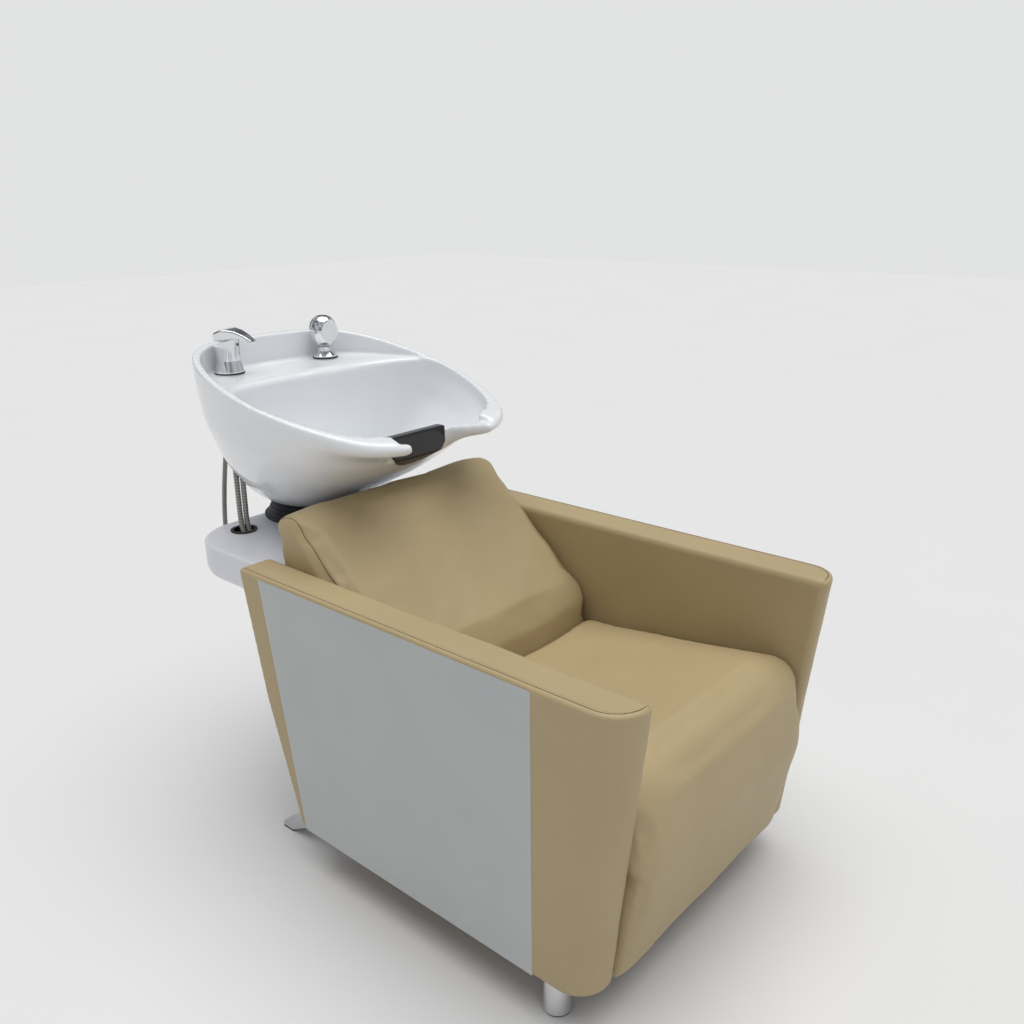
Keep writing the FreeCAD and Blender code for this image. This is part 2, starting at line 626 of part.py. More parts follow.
# Cushion cross-sections: share of the half width, share of the crown that is lost there.
CROWN_SHARES = [(-1, 1), (-0.93, 0.5), (-0.6, 0.12), (0, 0), (0.6, 0.12), (0.93, 0.5), (1, 1)]


def cushion(profile, half, crown):
    """Loft a crowned cushion from side to side; profile(drop) gives the corners drawn in by drop."""
    sections = []
    for across, lost in CROWN_SHARES:
        sections.append(round_corner_wire(profile(crown * lost), across * half))
    return Part.makeLoft(sections, True, False)


def make_arms():
    """Padded arms on plywood cores, each with a flush side panel."""
    outline = [
        ("front_y", "arm_top"),
        ("arm_front_foot_y", "arm_foot"),
        ("arm_back_foot_y", "arm_foot"),
        ("arm_back_mid_y", "arm_mid_z"),
        ("arm_back_top_y", "arm_top"),
    ]
    core = [
        ("front_y + arm_core_front", "arm_top - arm_core_top"),
        ("arm_front_foot_y + arm_core_front", "arm_foot"),
        ("arm_back_foot_y - arm_core_back", "arm_foot"),
        ("arm_back_top_y - arm_core_back - arm_back_bulge", "arm_top - arm_core_top"),
    ]
    panel_foot_y = "arm_back_foot_y - panel_strip_foot"
    panel_back_y = "arm_back_top_y - panel_strip_top"

    def panel(gap):
        return [
            (f"front_y + panel_setback + {gap}", f"arm_top - panel_below_top - {gap}"),
            (f"front_y + panel_setback + {gap}", "arm_foot"),
            (f"{panel_foot_y} - {gap}", "arm_foot"),
            (f"{panel_back_y} - {gap}", f"arm_top - panel_below_top - {gap}"),
        ]

    arm = start_body("Arm")
    pad = pad_outline(arm, "YZ_Plane", outline, "arm_thick", "arm_inner")
    outer = size("arm_outer")
    inner = size("arm_inner")
    foot_front = size("arm_front_foot_y")
    top = size("arm_top")
    corner = round_edges(arm, pad, "arm_corner_round",
                         lambda edge: edge_inside(edge, (outer, None, None), (outer, foot_front, None)))
    crest = round_edges(arm, corner, "arm_edge_round",
                        lambda edge: edge_inside(edge, (inner + NEAR, None, top), (outer, None, top))
                        and edge.BoundBox.XMax > outer - NEAR)
    round_edges(arm, crest, "arm_inner_round",
                lambda edge: edge_inside(edge, (inner, None, top), (inner, None, top)))
    pocket_outline(arm, "YZ_Plane", panel("0"), "panel_thick", "arm_outer", False)
    sketch = start_sketch(arm, "YZ_Plane", "ArmCoreOutline", "arm_inner + arm_core_gap")
    draw_outline(sketch, core)
    hollow = arm.newObject("PartDesign::Pocket", "ArmCoreHollow")
    hollow.Profile = sketch
    hollow.Reversed = True
    hollow.setExpression("Length", bind("arm_core_thick"))
    keep(arm, "left_arm_upholstery")
    keep(mirrored("ArmMirror", arm), "right_arm_upholstery")

    board = start_body("ArmCore")
    pad_outline(board, "YZ_Plane", core, "arm_core_thick", "arm_inner + arm_core_gap")
    keep(board, "left_arm_core")
    keep(mirrored("ArmCoreMirror", board), "right_arm_core")

    skin = start_body("SidePanel")
    pad_outline(skin, "YZ_Plane", panel("panel_seam"), "panel_thick", "arm_outer - panel_thick")
    keep(skin, "left_side_panel")
    keep(mirrored("SidePanelMirror", skin), "right_side_panel")


def under_board(y):
    """Height of the back board's underside at y."""
    return f"back_under + back_rise / back_run * ({y} + back_foot_y)"


def before_board(z):
    """Place along Y of the back board's underside at the height z."""
    return f"({z} - back_under) * back_run / back_rise - back_foot_y"


def make_seat():
    """One cushion over the seat board and down the front, with a rolled front corner."""
    hem_in_y = size("seat_hem_y") - size("seat_front_thick")
    top_in_y = hem_in_y + (size("seat_belly_y") - size("seat_hem_y")) * 2 / 3

    def profile(drop):
        return [
            (-size("seat_back_y"), size("board_top"), 0),
            (-size("seat_back_y"), size("seat_back_top") - drop, size("lip_round")),
            (-size("seat_nose_y"), size("seat_nose_top") - drop, size("seat_nose_round")),
            (-size("seat_belly_y") + drop, size("seat_belly_z"), size("seat_belly_round")),
            (-size("seat_hem_y") + drop, size("seat_hem"), size("seat_crown")),
            (-hem_in_y, size("seat_hem"), 0),
            (-top_in_y, size("board_top"), 0),
        ]

    shape = cushion(profile, size("cushion_half"), size("seat_crown"))
    keep(custom("SeatCushion", shape), "seat_cushion")
    board = start_body("SeatBoard")
    pad_outline(board, "YZ_Plane", [
        ("front_board_head_y", "board_under"),
        ("bulkhead_y - bulkhead_thick", "board_under"),
        ("bulkhead_y - bulkhead_thick", "board_top"),
        ("front_board_head_y - front_lean * board_thick", "board_top"),
    ], "2 * cushion_half", "-cushion_half")
    keep(board, "seat_board")
    front = start_body("FrontBoard")
    pad_outline(front, "YZ_Plane", [
        ("front_board_foot_y", "rail_base"),
        ("front_board_foot_y + front_board_thick", "rail_base"),
        ("front_board_head_y + front_board_thick", "board_under"),
        ("front_board_head_y", "board_under"),
    ], "2 * cushion_half", "-cushion_half")
    keep(front, "front_board")
    bulkhead = start_body("Bulkhead")
    pad_outline(bulkhead, "YZ_Plane", [
        ("bulkhead_y - bulkhead_thick", "rail_top"),
        ("bulkhead_y", "rail_top"),
        ("bulkhead_y", under_board("bulkhead_y")),
        ("bulkhead_y - bulkhead_thick", under_board("(bulkhead_y - bulkhead_thick)")),
    ], "2 * cushion_half", "-cushion_half")
    keep(bulkhead, "seat_bulkhead")


def make_back():
    """Reclined back cushion on its plywood board."""
    def profile(drop):
        return [
            (-size("back_foot_y"), size("back_foot"), 0),
            (-size("back_knee_y") + drop / 2, size("back_knee") - drop / 2, size("back_knee_round")),
            (size("back_head_y") + drop / 2, size("back_head") - drop, size("back_head_round")),
            (size("back_crest_y") - drop / 2, size("back_crest") - drop, size("back_crest_round")),
            (size("back_heel_y"), size("back_heel"), 0),
        ]

    shape = cushion(profile, size("cushion_half"), size("back_crown"))
    keep(custom("BackCushion", shape), "back_cushion")
    side_y = "board_thick * back_rise / back_long"
    side_z = "board_thick * back_run / back_long"
    foot_y = f"({side_z} - gap_fine) * back_run / back_rise - back_foot_y"
    board = start_body("BackBoard")
    pad_outline(board, "YZ_Plane", [
        (foot_y, f"board_top + {side_z}"),
        (f"{foot_y} + {side_y}", "board_top"),
        (f"back_heel_y + {side_y}", f"back_heel - {side_z}"),
        ("back_heel_y", "back_heel"),
    ], "2 * back_board_half", "-back_board_half")
    keep(board, "back_board")


def make_frame():
    """Welded steel base, raked uprights, beams under the platform and the rear access panel."""
    rail_in = "arm_inner - rail_size"
    along = ("rail_front_y", "rail_rear")
    up = ("rail_base", "rail_top")
    keep(fuse("BaseFrame", [
        block("BaseLeft", (rail_in, "arm_inner"), along, up),
        block("BaseRight", ("-arm_inner", f"-({rail_in})"), along, up),
        block("BaseFront", ("-arm_inner", "arm_inner"), ("rail_front_y", "rail_front_y + rail_size"), up),
        block("BaseRear", ("-arm_inner", "arm_inner"), ("rail_inner_y", "rail_rear"), up),
    ]), "base_frame")

    def back_line(z, inset):
        return f"arm_back_foot_y + back_slope * ({z} - arm_foot) - {inset}"

    upright = start_body("Upright")
    face = "(rear_panel_inset + rear_panel_thick)"
    pad_outline(upright, "YZ_Plane", [
        (back_line("rail_top", f"({face} + upright_deep)"), "rail_top"),
        (back_line("rail_top", face), "rail_top"),
        (back_line("beam_under", face), "beam_under"),
        (back_line("beam_under", f"({face} + upright_deep)"), "beam_under"),
    ], "upright_wide", "upright_in")
    keep(upright, "left_upright")
    keep(mirrored("UprightMirror", upright), "right_upright")
    beam = start_body("Beam")
    pad_outline(beam, "YZ_Plane", [
        (before_board("beam_under") + " + gap_fine", "beam_under"),
        ("beam_rear", "beam_under"),
        ("beam_rear", "beam_top"),
        (before_board("beam_top") + " + gap_fine", "beam_top"),
    ], "upright_wide", "upright_in")
    keep(beam, "left_platform_beam")
    keep(mirrored("BeamMirror", beam), "right_platform_beam")

    panel = start_body("RearPanel")
    pad_outline(panel, "YZ_Plane", [
        (back_line("rail_base", face), "rail_base"),
        (back_line("rail_base", "rear_panel_inset"), "rail_base"),
        (back_line("rear_panel_top", "rear_panel_inset"), "rear_panel_top"),
        (back_line("rear_panel_top", face), "rear_panel_top"),
    ], "2 * cushion_half", "-cushion_half")
    keep(panel, "rear_access_panel")
    heads = []
    lean = math.degrees(math.atan(size("back_slope")))
    for side in ("-", ""):
        for at_z in ("rail_top + rail_size", "rear_panel_top - rail_size"):
            spot = (f"{side}(upright_in + upright_wide / 2)",
                    back_line(f"({at_z})", "rear_panel_inset"), at_z)
            head = rod(f"ScrewHead{len(heads)}", "screw_radius", "screw_thick", spot)
            leaning = FreeCAD.Rotation(Vector(1, 0, 0), -90 - lean)
            head.Placement = FreeCAD.Placement(head.Placement.Base, leaning)
            heads.append(head)
    keep(group("PanelScrews", heads), "rear_panel_screws")


def make_legs():
    """Round front legs with glides, and flat raked rear feet with rubber pads."""
    leg = start_body("FrontLeg")
    revolve_outline(leg, [
        ("0", "glide_thick"),
        ("leg_radius", "glide_thick"),
        ("leg_radius", "leg_height - 3 * leg_flange"),
        ("leg_flare_radius", "leg_height - leg_flange"),
        ("leg_flare_radius", "leg_height"),
        ("0", "leg_height"),
    ])
    place(leg, ("leg_x", "leg_y", "0"))
    keep(leg, "left_front_leg")
    keep(mirrored("FrontLegMirror", leg), "right_front_leg")
    glides = []
    for side in ("-", ""):
        glides.append(rod(f"Glide{len(glides)}", "leg_radius - glide_thick / 2", "glide_thick",
                          (f"{side}leg_x", "leg_y", "0")))
    keep(group("LegGlides", glides), "front_leg_glides")

    toe = start_body("RearFoot")
    pad_outline(toe, "YZ_Plane", [
        ("toe_root_y - toe_root_long", "leg_height"),
        ("toe_root_y", "leg_height"),
        ("toe_tip_y", "glide_thick + toe_nose"),
        ("toe_tip_y", "glide_thick"),
        ("toe_tip_y - toe_pad_long", "glide_thick"),
    ], "toe_wide", "toe_inner")
    keep(toe, "left_rear_foot")
    keep(mirrored("RearFootMirror", toe), "right_rear_foot")
    pads = []
    for side in (("toe_inner", "toe_inner + toe_wide"), ("-toe_inner - toe_wide", "-toe_inner")):
        pads.append(block(f"ToePad{len(pads)}", side, ("toe_tip_y - toe_pad_long", "toe_tip_y"),
                          ("0", "glide_thick")))
    keep(group("ToePads", pads), "rear_foot_pads")


def tray_blank(name, wall):
    """The platform's block drawn in by wall on every side except the front."""
    body = start_body(name)
    half = f"(tray_half - {wall})"
    tongue = f"(tray_tongue_half - {wall})"
    pad = pad_outline(body, "XY_Plane", [
        (f"-{tongue}", f"tray_front + {wall}"),
        (tongue, f"tray_front + {wall}"),
        (tongue, f"tray_wide_from + {wall}"),
        (half, f"tray_wide_from + {wall}"),
        (half, f"tray_rear - {wall}"),
        (f"-{half}", f"tray_rear - {wall}"),
        (f"-{half}", f"tray_wide_from + {wall}"),
        (f"-{tongue}", f"tray_wide_from + {wall}"),
    ], f"tray_deep - 2 * {wall}", f"tray_under + {wall}")
    rear = pad.Shape.BoundBox.YMax
    low = pad.Shape.BoundBox.ZMin
    high = pad.Shape.BoundBox.ZMax
    corners = round_edges(body, pad, f"tray_corner - {wall}",
                          lambda edge: edge_inside(edge, (None, rear, None), (None, None, None))
                          and edge.BoundBox.ZLength > (high - low) / 2)
    wide = size("tray_wide_from")
    under = round_edges(body, corners, f"tray_under_round - {wall}",
                        lambda edge: edge_inside(edge, (None, wide, None), (None, None, low))
                        and edge.BoundBox.YMax > wide + size("tray_wall") + NEAR)
    if wall == "0":
        round_edges(body, under, "tray_top_round",
                    lambda edge: edge_inside(edge, (None, wide, high), (None, None, None))
                    and edge.BoundBox.YMax > wide + NEAR)
    return body


def make_platform():
    """Moulded platform shell, its underside cover and the rubber hose grommet."""
    shell = tray_blank("Tray", "0")
    hollow = tray_blank("TrayHollow", "tray_wall")
    hatch = block("TrayHatch", ("-tray_hatch_half", "tray_hatch_half"),
                  ("tray_front - overrun", "tray_front + overrun + tray_wall"),
                  ("tray_under + tray_wall", "tray_top - 3 * tray_wall"))
    floor_hole = block("TrayFloorHole", ("-tray_half + tray_cover_inset", "tray_half - tray_cover_inset"),
                       ("tray_front + tray_cover_inset", "tray_rear - tray_cover_inset"),
                       ("tray_under - overrun", "tray_under + tray_wall + overrun"))
    boot_hole = rod("TrayBootHole", "boot_hole_radius", "tray_wall + 2 * overrun",
                    ("0", "pivot_y", "tray_top - tray_wall - overrun"))
    hose_hole = rod("TrayHoseHole", "hose_hole_radius", "tray_wall + 2 * overrun",
                    ("-hose_hole_x", "hose_hole_y", "tray_top - tray_wall - overrun"))
    keep(cut("TrayShell", shell, [hollow, hatch, floor_hole, boot_hole, hose_hole]), "platform_shell")
    margin = "tray_cover_inset - tray_wall"
    keep(block("TrayCover", (f"-tray_half + {margin}", f"tray_half - ({margin})"),
               (f"tray_front + {margin}", f"tray_rear - ({margin})"),
               ("tray_under + tray_wall", "tray_under + tray_wall + tray_cover_thick")), "platform_cover")
    ring = rod("GrommetRim", "hose_hole_radius + grommet_rim", "grommet_rim",
               ("-hose_hole_x", "hose_hole_y", "tray_top"))
    sleeve = rod("GrommetSleeve", "hose_hole_radius", "tray_wall + grommet_rim",
                 ("-hose_hole_x", "hose_hole_y", "tray_top - tray_wall"))
    bore = rod("GrommetBore", "hose_hole_radius - grommet_rim", "tray_wall + 2 * overrun + grommet_rim",
               ("-hose_hole_x", "hose_hole_y", "tray_top - tray_wall - overrun"))
    keep(cut("Grommet", fuse("GrommetBlank", [ring, sleeve]), [bore]), "hose_grommet")


# Half of the bowl's plan, from the back to the front: share of the half width, share of the reach.
PLAN_SHARES = [(0, 1), (0.38, 0.985), (0.66, 0.91), (0.84, 0.71), (0.95, 0.42), (1, 0.03),
               (0.955, -0.33), (0.852, -0.61), (0.655, -0.874), (0.42, -0.97), (0, -1)]

# Levels of the bowl's outside, from the rim to the foot: shares of the depth, of the half width,
# of the reach to the back, of the reach to the front, all from the widest place of the rim.
SHELL_SHARES = [(0, 1, 1, 1), (0.11, 0.995, 0.998, 0.995), (0.18, 0.98, 0.992, 0.87),
                (0.26, 0.963, 0.988, 0.744), (0.45, 0.886, 0.961, 0.54), (0.65, 0.771, 0.92, 0.323),
                (0.8, 0.646, 0.873, 0.104), (0.92, 0.49, 0.815, -0.1), (1, 0.3, 0.764, -0.28)]

# The same for the basin, above the rim first, from the rim to the basin's floor.
BASIN_SHARES = [(-0.16, 1, 1, 1), (0, 1, 1, 1), (0.12, 0.996, 1, 0.99), (0.2, 0.98, 1.01, 0.9),
                (0.28, 0.965, 1.02, 0.8), (0.5, 0.88, 1.07, 0.56), (0.72, 0.76, 1.15, 0.31),
                (0.89, 0.58, 1.2, 0.04), (1, 0.36, 1.16, -0.26)]


def plan_wire(half, back, front, mid_y, mid_z, tilt):
    """Closed smooth outline of a level: widest at mid_y, on a plane that rises to the back by tilt."""
    points = []
    for across, along in PLAN_SHARES:
        reach = back if along > 0 else front
        points.append(Vector(half * across, mid_y + reach * along, mid_z + reach * along * math.tan(tilt)))
    mirror = [Vector(-point.x, point.y, point.z) for point in points[-2:0:-1]]
    curve = Part.BSplineCurve()
    curve.interpolate(Points=points + mirror, PeriodicFlag=True)
    return Part.Wire([curve.toShape()])


def bowl_loft(shares, half, back, front, depth, grow):
    """Loft of levels whose sizes are shares, grown outwards by grow; the levels turn flat downwards."""
    tilt = math.radians(size("bowl_rim_tilt"))
    wires = []
    for down, wide, rear, fore in shares:
        shift = size("bowl_foot_shift") * max(down, 0)
        wires.append(plan_wire(half * wide + grow, back * rear - shift + grow, front * fore + shift + grow,
                               size("bowl_mid_y") + shift, size("bowl_rim_mid") - depth * down,
                               tilt * (1 - max(down, 0))))
    return Part.makeLoft(wires, True, False)


def bowl_outside(grow):
    """The bowl's outer form, grown outwards."""
    return bowl_loft(SHELL_SHARES, size("bowl_half_width"), size("bowl_back_y") - size("bowl_mid_y"),
                     size("bowl_front_reach"), size("bowl_rim_mid") - size("bowl_foot"), grow)


def make_bowl():
    """Ceramic wash bowl: rolled front lip with a neck notch, basin, tap deck and hollow back."""
    mid_y = size("bowl_mid_y")
    half = size("bowl_half_width")
    back = size("bowl_back_y") - mid_y
    front = size("bowl_front_reach")
    wall = size("bowl_wall")
    basin_half = half - wall
    basin_back = size("basin_back_y") - mid_y
    basin_front = front - size("bowl_front_wall")
    basin_depth = size("bowl_rim_mid") - size("basin_floor")
    far = size("overall_length")
    outside = bowl_outside(0)
    basin = bowl_loft(BASIN_SHARES, basin_half, basin_back, basin_front, basin_depth, 0)

    # The deck: everything inside the wall above the deck's height.
    deck_wire = plan_wire(basin_half, back - wall, basin_front, mid_y, size("deck_height"), 0)
    above_deck = Part.Face(deck_wire).extrude(Vector(0, 0, size("bowl_rim_mid")))

    # The neck notch: a lip thinner than the front wall, in front of which all is cut away.
    lip_back = size("notch_face_y") + size("notch_lip_deep")
    lip_low = size("notch_lip_top") - size("notch_lip_tall")
    flare = size("notch_flare")

    def notch(half_width, y_end, z_low):
        mouth = mid_y - front - size("overrun") - flare
        corners = [Vector(-half_width - flare, mouth, z_low), Vector(half_width + flare, mouth, z_low),
                   Vector(half_width, y_end, z_low), Vector(-half_width, y_end, z_low)]
        return Part.Face(Part.makePolygon(corners + corners[:1])).extrude(Vector(0, 0, far))

    spared = notch(size("notch_half") + size("notch_wall"), lip_back, lip_low)
    upright_edges = [edge for edge in spared.Edges if edge.BoundBox.ZLength > far / 2
                     and edge.BoundBox.YMin > lip_back - size("overrun")]
    spared = spared.makeFillet(size("notch_wall"), upright_edges)
    basin = basin.cut(spared)
    ceramic = outside.cut(Part.makeCompound([basin])).cut(above_deck)
    ceramic = ceramic.cut(notch(size("notch_half"), size("notch_face_y"), size("bowl_foot")))
    trough = Part.makeBox(2 * size("notch_half"), far, far,
                          Vector(-size("notch_half"), lip_back - far, size("notch_lip_top")))
    ceramic = ceramic.cut(trough)

    # The walls beside the notch sink in a line from the front tips to the lip.
    beside = notch(size("notch_half") + size("notch_wall") + size("overrun"), lip_back, size("notch_lip_top"))
    tip_y = mid_y - front
    slope = size("horn_rise") / (lip_back - tip_y)
    mouth = tip_y - far
    line = [Vector(-far, lip_back, size("notch_lip_top")), Vector(-far, lip_back, far),
            Vector(-far, mouth, far), Vector(-far, mouth, size("notch_lip_top") + slope * (lip_back - mouth))]
    sink = Part.Face(Part.makePolygon(line + line[:1])).extrude(Vector(2 * far, 0, 0))
    ceramic = ceramic.cut(beside.common(sink))

    # The hollow behind the basin, open at the back through the service opening.
    inset = size("cavity_inset")
    hollow = bowl_outside(-inset)
    slab = Part.makeBox(2 * far, far, size("deck_height") - size("deck_thick") - size("cavity_floor"),
                        Vector(-far, mid_y + wall, size("cavity_floor")))
    solid_basin = bowl_loft(BASIN_SHARES, basin_half, basin_back, basin_front, basin_depth,
                            size("cavity_skin"))
    hollow = hollow.common(slab).cut(solid_basin)
    ceramic = ceramic.cut(hollow)
    service_start = Vector(-size("service_half"), size("tap_y") - size("deck_nut_radius"),
                           size("cavity_floor"))
    service = Part.makeBox(2 * size("service_half"), far, size("service_high") - size("cavity_floor"),
                           service_start)
    upright_edges = [edge for edge in service.Edges if edge.BoundBox.YLength > far / 2]
    service = service.makeFillet(size("service_round"), upright_edges)
    ceramic = ceramic.cut(service)

    # Holes: waste, hose ports, two deck holes and four blind bolt holes.
    def port(radius, low_end, high_end):
        return Part.makeCylinder(radius, (high_end - low_end).Length, low_end, high_end - low_end)

    holes = [Part.makeCylinder(size("waste_tail_radius"), size("basin_floor") + size("overrun"),
                               Vector(0, size("waste_y"), 0)),
             port(size("port_radius"), Vector(-size("port_x"), size("port_y"), size("port_low")),
                  Vector(-size("port_end_x"), size("port_end_y"), size("port_high")))]
    for side in (-1, 1):
        tap_hole = Vector(side * size("tap_x"), size("tap_y"), size("cavity_floor") + inset)
        holes.append(Part.makeCylinder(size("tap_hole_radius"), far, tap_hole))
        holes.append(port(size("side_port_radius"),
                          Vector(side * size("side_port_x"), size("tap_y"), size("port_low")),
                          Vector(side * size("side_port_end_x"), size("tap_y"), size("side_port_high"))))
        for fore in (-1, 1):
            bolt_hole = Vector(side * size("bolt_x"), size("pivot_y") + fore * size("bolt_spread"), 0)
            holes.append(Part.makeCylinder(size("bolt_radius"), size("bolt_bite") + size("bowl_foot"),
                                           bolt_hole))
    for hole in holes:
        ceramic = ceramic.cut(hole)
    solids = sorted(ceramic.Solids, key=lambda solid: solid.Volume)
    keep(custom("Bowl", solids[-1]), "bowl")


def make_neck_rest():
    """Rubber saddle over the lip of the neck notch, with a flap that follows the shell below it."""
    half = size("neck_half")
    thick = size("neck_thick")
    gap = size("gap_fine")
    lip = size("notch_lip_top")
    top = lip + thick
    back = size("notch_face_y") + size("notch_lip_deep")
    inner_face = size("notch_face_y") - gap
    fore = inner_face - thick
    end = lip - size("neck_end_drop")
    corners = [Vector(half, fore, end), Vector(half, fore, top),
               Vector(-half, fore, top), Vector(-half, fore, end)]
    edges = [Part.makeLine(first, second) for first, second in zip(corners, corners[1:])]
    edges.append(Part.Arc(corners[-1], Vector(0, fore, lip - size("neck_drop")), corners[0]).toShape())
    outline = Part.Face(Part.Wire(edges)).extrude(Vector(0, back, 0))
    covered = bowl_outside(gap).common(Part.makeBox(4 * half, back, lip, Vector(-2 * half, inner_face, 0)))
    behind = Part.makeBox(4 * half, back, 2 * thick, Vector(-2 * half, back + thick, lip))
    saddle = outline.common(bowl_outside(gap + thick)).cut(covered).cut(behind)
    hook = Part.makeBox(2 * half, thick, size("neck_hook") + thick,
                        Vector(-half, back, lip - size("neck_hook")))
    rest = max(saddle.Solids, key=lambda solid: solid.Volume).fuse(hook).removeSplitter()
    top_edges = [edge for edge in rest.Edges
                 if edge.BoundBox.ZMin > top - gap and edge.BoundBox.XLength > half]
    keep(custom("NeckRest", rest.makeFillet(size("neck_round"), top_edges)), "neck_rest")


def make_tilt():
    """Yoke on the platform beams, cradle under the bowl, and the pins that join them."""
    plate = block("YokePlate", ("-yoke_half", "yoke_half"), ("yoke_front", "yoke_rear"),
                  ("beam_top", "yoke_top"))
    ear_span = ("pivot_y - ear_radius", "pivot_y + ear_radius")
    ears = []
    for side in ("+x", "-x"):
        sign = side[0].replace("+", "")
        low = "yoke_ear_inner" if side == "+x" else "-yoke_ear_outer"
        high = "yoke_ear_outer" if side == "+x" else "-yoke_ear_inner"
        ears.append(block(f"YokeEar{side[0] == '+'}", (low, high), ear_span, ("yoke_top", "pivot_z")))
        ears.append(rod(f"YokeEarEnd{side[0] == '+'}", "ear_radius", "ear_thick",
                        (f"{sign}yoke_ear_inner", "pivot_y", "pivot_z"), side))
    bore = rod("YokeBore", "pin_radius", "4 * yoke_ear_outer",
               ("-2 * yoke_ear_outer", "pivot_y", "pivot_z"), "+x")
    keep(cut("Yoke", fuse("YokeBlank", [plate] + ears), [bore]), "tilt_yoke")

    disc = rod("CradleDisc", "cradle_radius", "cradle_thick", ("0", "pivot_y", "cradle_under"))
    ears = []
    for side in ("+x", "-x"):
        sign = side[0].replace("+", "")
        low = "ear_inner" if side == "+x" else "-ear_inner - ear_thick"
        high = "ear_inner + ear_thick" if side == "+x" else "-ear_inner"
        ears.append(block(f"CradleEar{side[0] == '+'}", (low, high), ear_span, ("pivot_z", "cradle_under")))
        ears.append(rod(f"CradleEarEnd{side[0] == '+'}", "ear_radius", "ear_thick",
                        (f"{sign}ear_inner", "pivot_y", "pivot_z"), side))
    bore = rod("CradleBore", "pin_radius + pin_slack", "4 * ear_inner",
               ("-2 * ear_inner", "pivot_y", "pivot_z"), "+x")
    waste = rod("CradleWaste", "waste_nut_radius + waste_gasket_thick", "cradle_thick + 2 * overrun",
                ("0", "waste_y", "cradle_under - overrun"))
    drills = [bore, waste]
    bolts = []
    buffers = []
    for side in ("-", ""):
        for fore in ("-", "+"):
            spot = (f"{side}bolt_x", f"pivot_y {fore} bolt_spread")
            tag = len(bolts)
            drills.append(rod(f"CradleDrill{tag}", "bolt_radius", "cradle_thick + 2 * overrun",
                              spot + ("cradle_under - overrun",)))
            shank = rod(f"BowlBoltShank{tag}", "bolt_radius", "cradle_thick + buffer_thick + bolt_bite",
                        spot + ("cradle_under",))
            head = rod(f"BowlBoltHead{tag}", "bolt_head_radius", "bolt_head_thick",
                       spot + ("cradle_under - bolt_head_thick",))
            bolts.append(fuse(f"BowlBolt{tag}", [shank, head]))
            pad = rod(f"BufferPad{tag}", "buffer_radius", "buffer_thick", spot + ("cradle_top",))
            hole = rod(f"BufferHole{tag}", "bolt_radius", "buffer_thick + 2 * overrun",
                       spot + ("cradle_top - overrun",))
            buffers.append(cut(f"Buffer{tag}", pad, [hole]))
    keep(cut("Cradle", fuse("CradleBlank", [disc] + ears), drills), "bowl_cradle")
    keep(group("BowlBolts", bolts), "bowl_bolts")
    keep(group("BowlBuffers", buffers), "bowl_buffers")

    pins = []
    washers = []
    nuts = []
    for side in ("+x", "-x"):
        sign = side[0].replace("+", "")
        tag = "Left" if side == "+x" else "Right"
        head = rod(f"PinHead{tag}", "pin_head_radius", "pin_head_long",
                   (f"{sign}(ear_inner - pin_head_long - washer_gap)", "pivot_y", "pivot_z"), side)
        shank = rod(f"PinShank{tag}", "pin_radius",
                    "yoke_ear_outer + nut_long + pin_stub - ear_inner + washer_gap",
                    (f"{sign}(ear_inner - washer_gap)", "pivot_y", "pivot_z"), side)
        pins.append(fuse(f"Pin{tag}", [head, shank]))
        ring = rod(f"WasherRing{tag}", "ear_radius - pin_radius / 2", "washer_thick",
                   (f"{sign}(ear_inner + ear_thick + washer_gap)", "pivot_y", "pivot_z"), side)
        hole = rod(f"WasherHole{tag}", "pin_radius", "washer_thick + 2 * overrun",
                   (f"{sign}(ear_inner + ear_thick + washer_gap - overrun)", "pivot_y", "pivot_z"), side)
        washers.append(cut(f"Washer{tag}", ring, [hole]))
        nut = DOC.addObject("Part::Prism", f"NutBlank{tag}")
        nut.Polygon = 6
        nut.setExpression("Circumradius", bind("pin_head_radius"))
        nut.setExpression("Height", bind("nut_long"))
        place(nut, (f"{sign}yoke_ear_outer", "pivot_y", "pivot_z"), ALONG[side])
        hole = rod(f"NutHole{tag}", "pin_radius", "nut_long + 2 * overrun",
                   (f"{sign}(yoke_ear_outer - overrun)", "pivot_y", "pivot_z"), side)
        nuts.append(cut(f"Nut{tag}", nut, [hole]))
    keep(group("TiltPins", pins), "tilt_pins")
    keep(group("TiltWashers", washers), "tilt_washers")
    keep(group("TiltNuts", nuts), "tilt_nuts")

    boot = start_body("Boot")
    tall = "(boot_top - tray_top)"
    revolve_outline(boot, [
        ("boot_hole_radius", "0"),
        ("boot_base_radius", "0"),
        ("boot_base_radius", "boot_wall"),
        ("boot_waist_radius", f"{tall} * 0.35"),
        ("boot_waist_radius", f"{tall} * 0.5"),
        ("boot_fold_radius", f"{tall} * 0.78"),
        ("boot_fold_radius - boot_wall", f"{tall}"),
        ("boot_lip_radius", f"{tall}"),
        ("boot_lip_radius", f"{tall} - boot_wall"),
        ("boot_fold_radius - 3 * boot_wall", f"{tall} * 0.74"),
        ("boot_waist_radius - boot_wall", f"{tall} * 0.5"),
        ("boot_waist_radius - boot_wall", f"{tall} * 0.35"),
    ])
    place(boot, ("0", "pivot_y", "tray_top"))
    keep(boot, "tilt_boot")


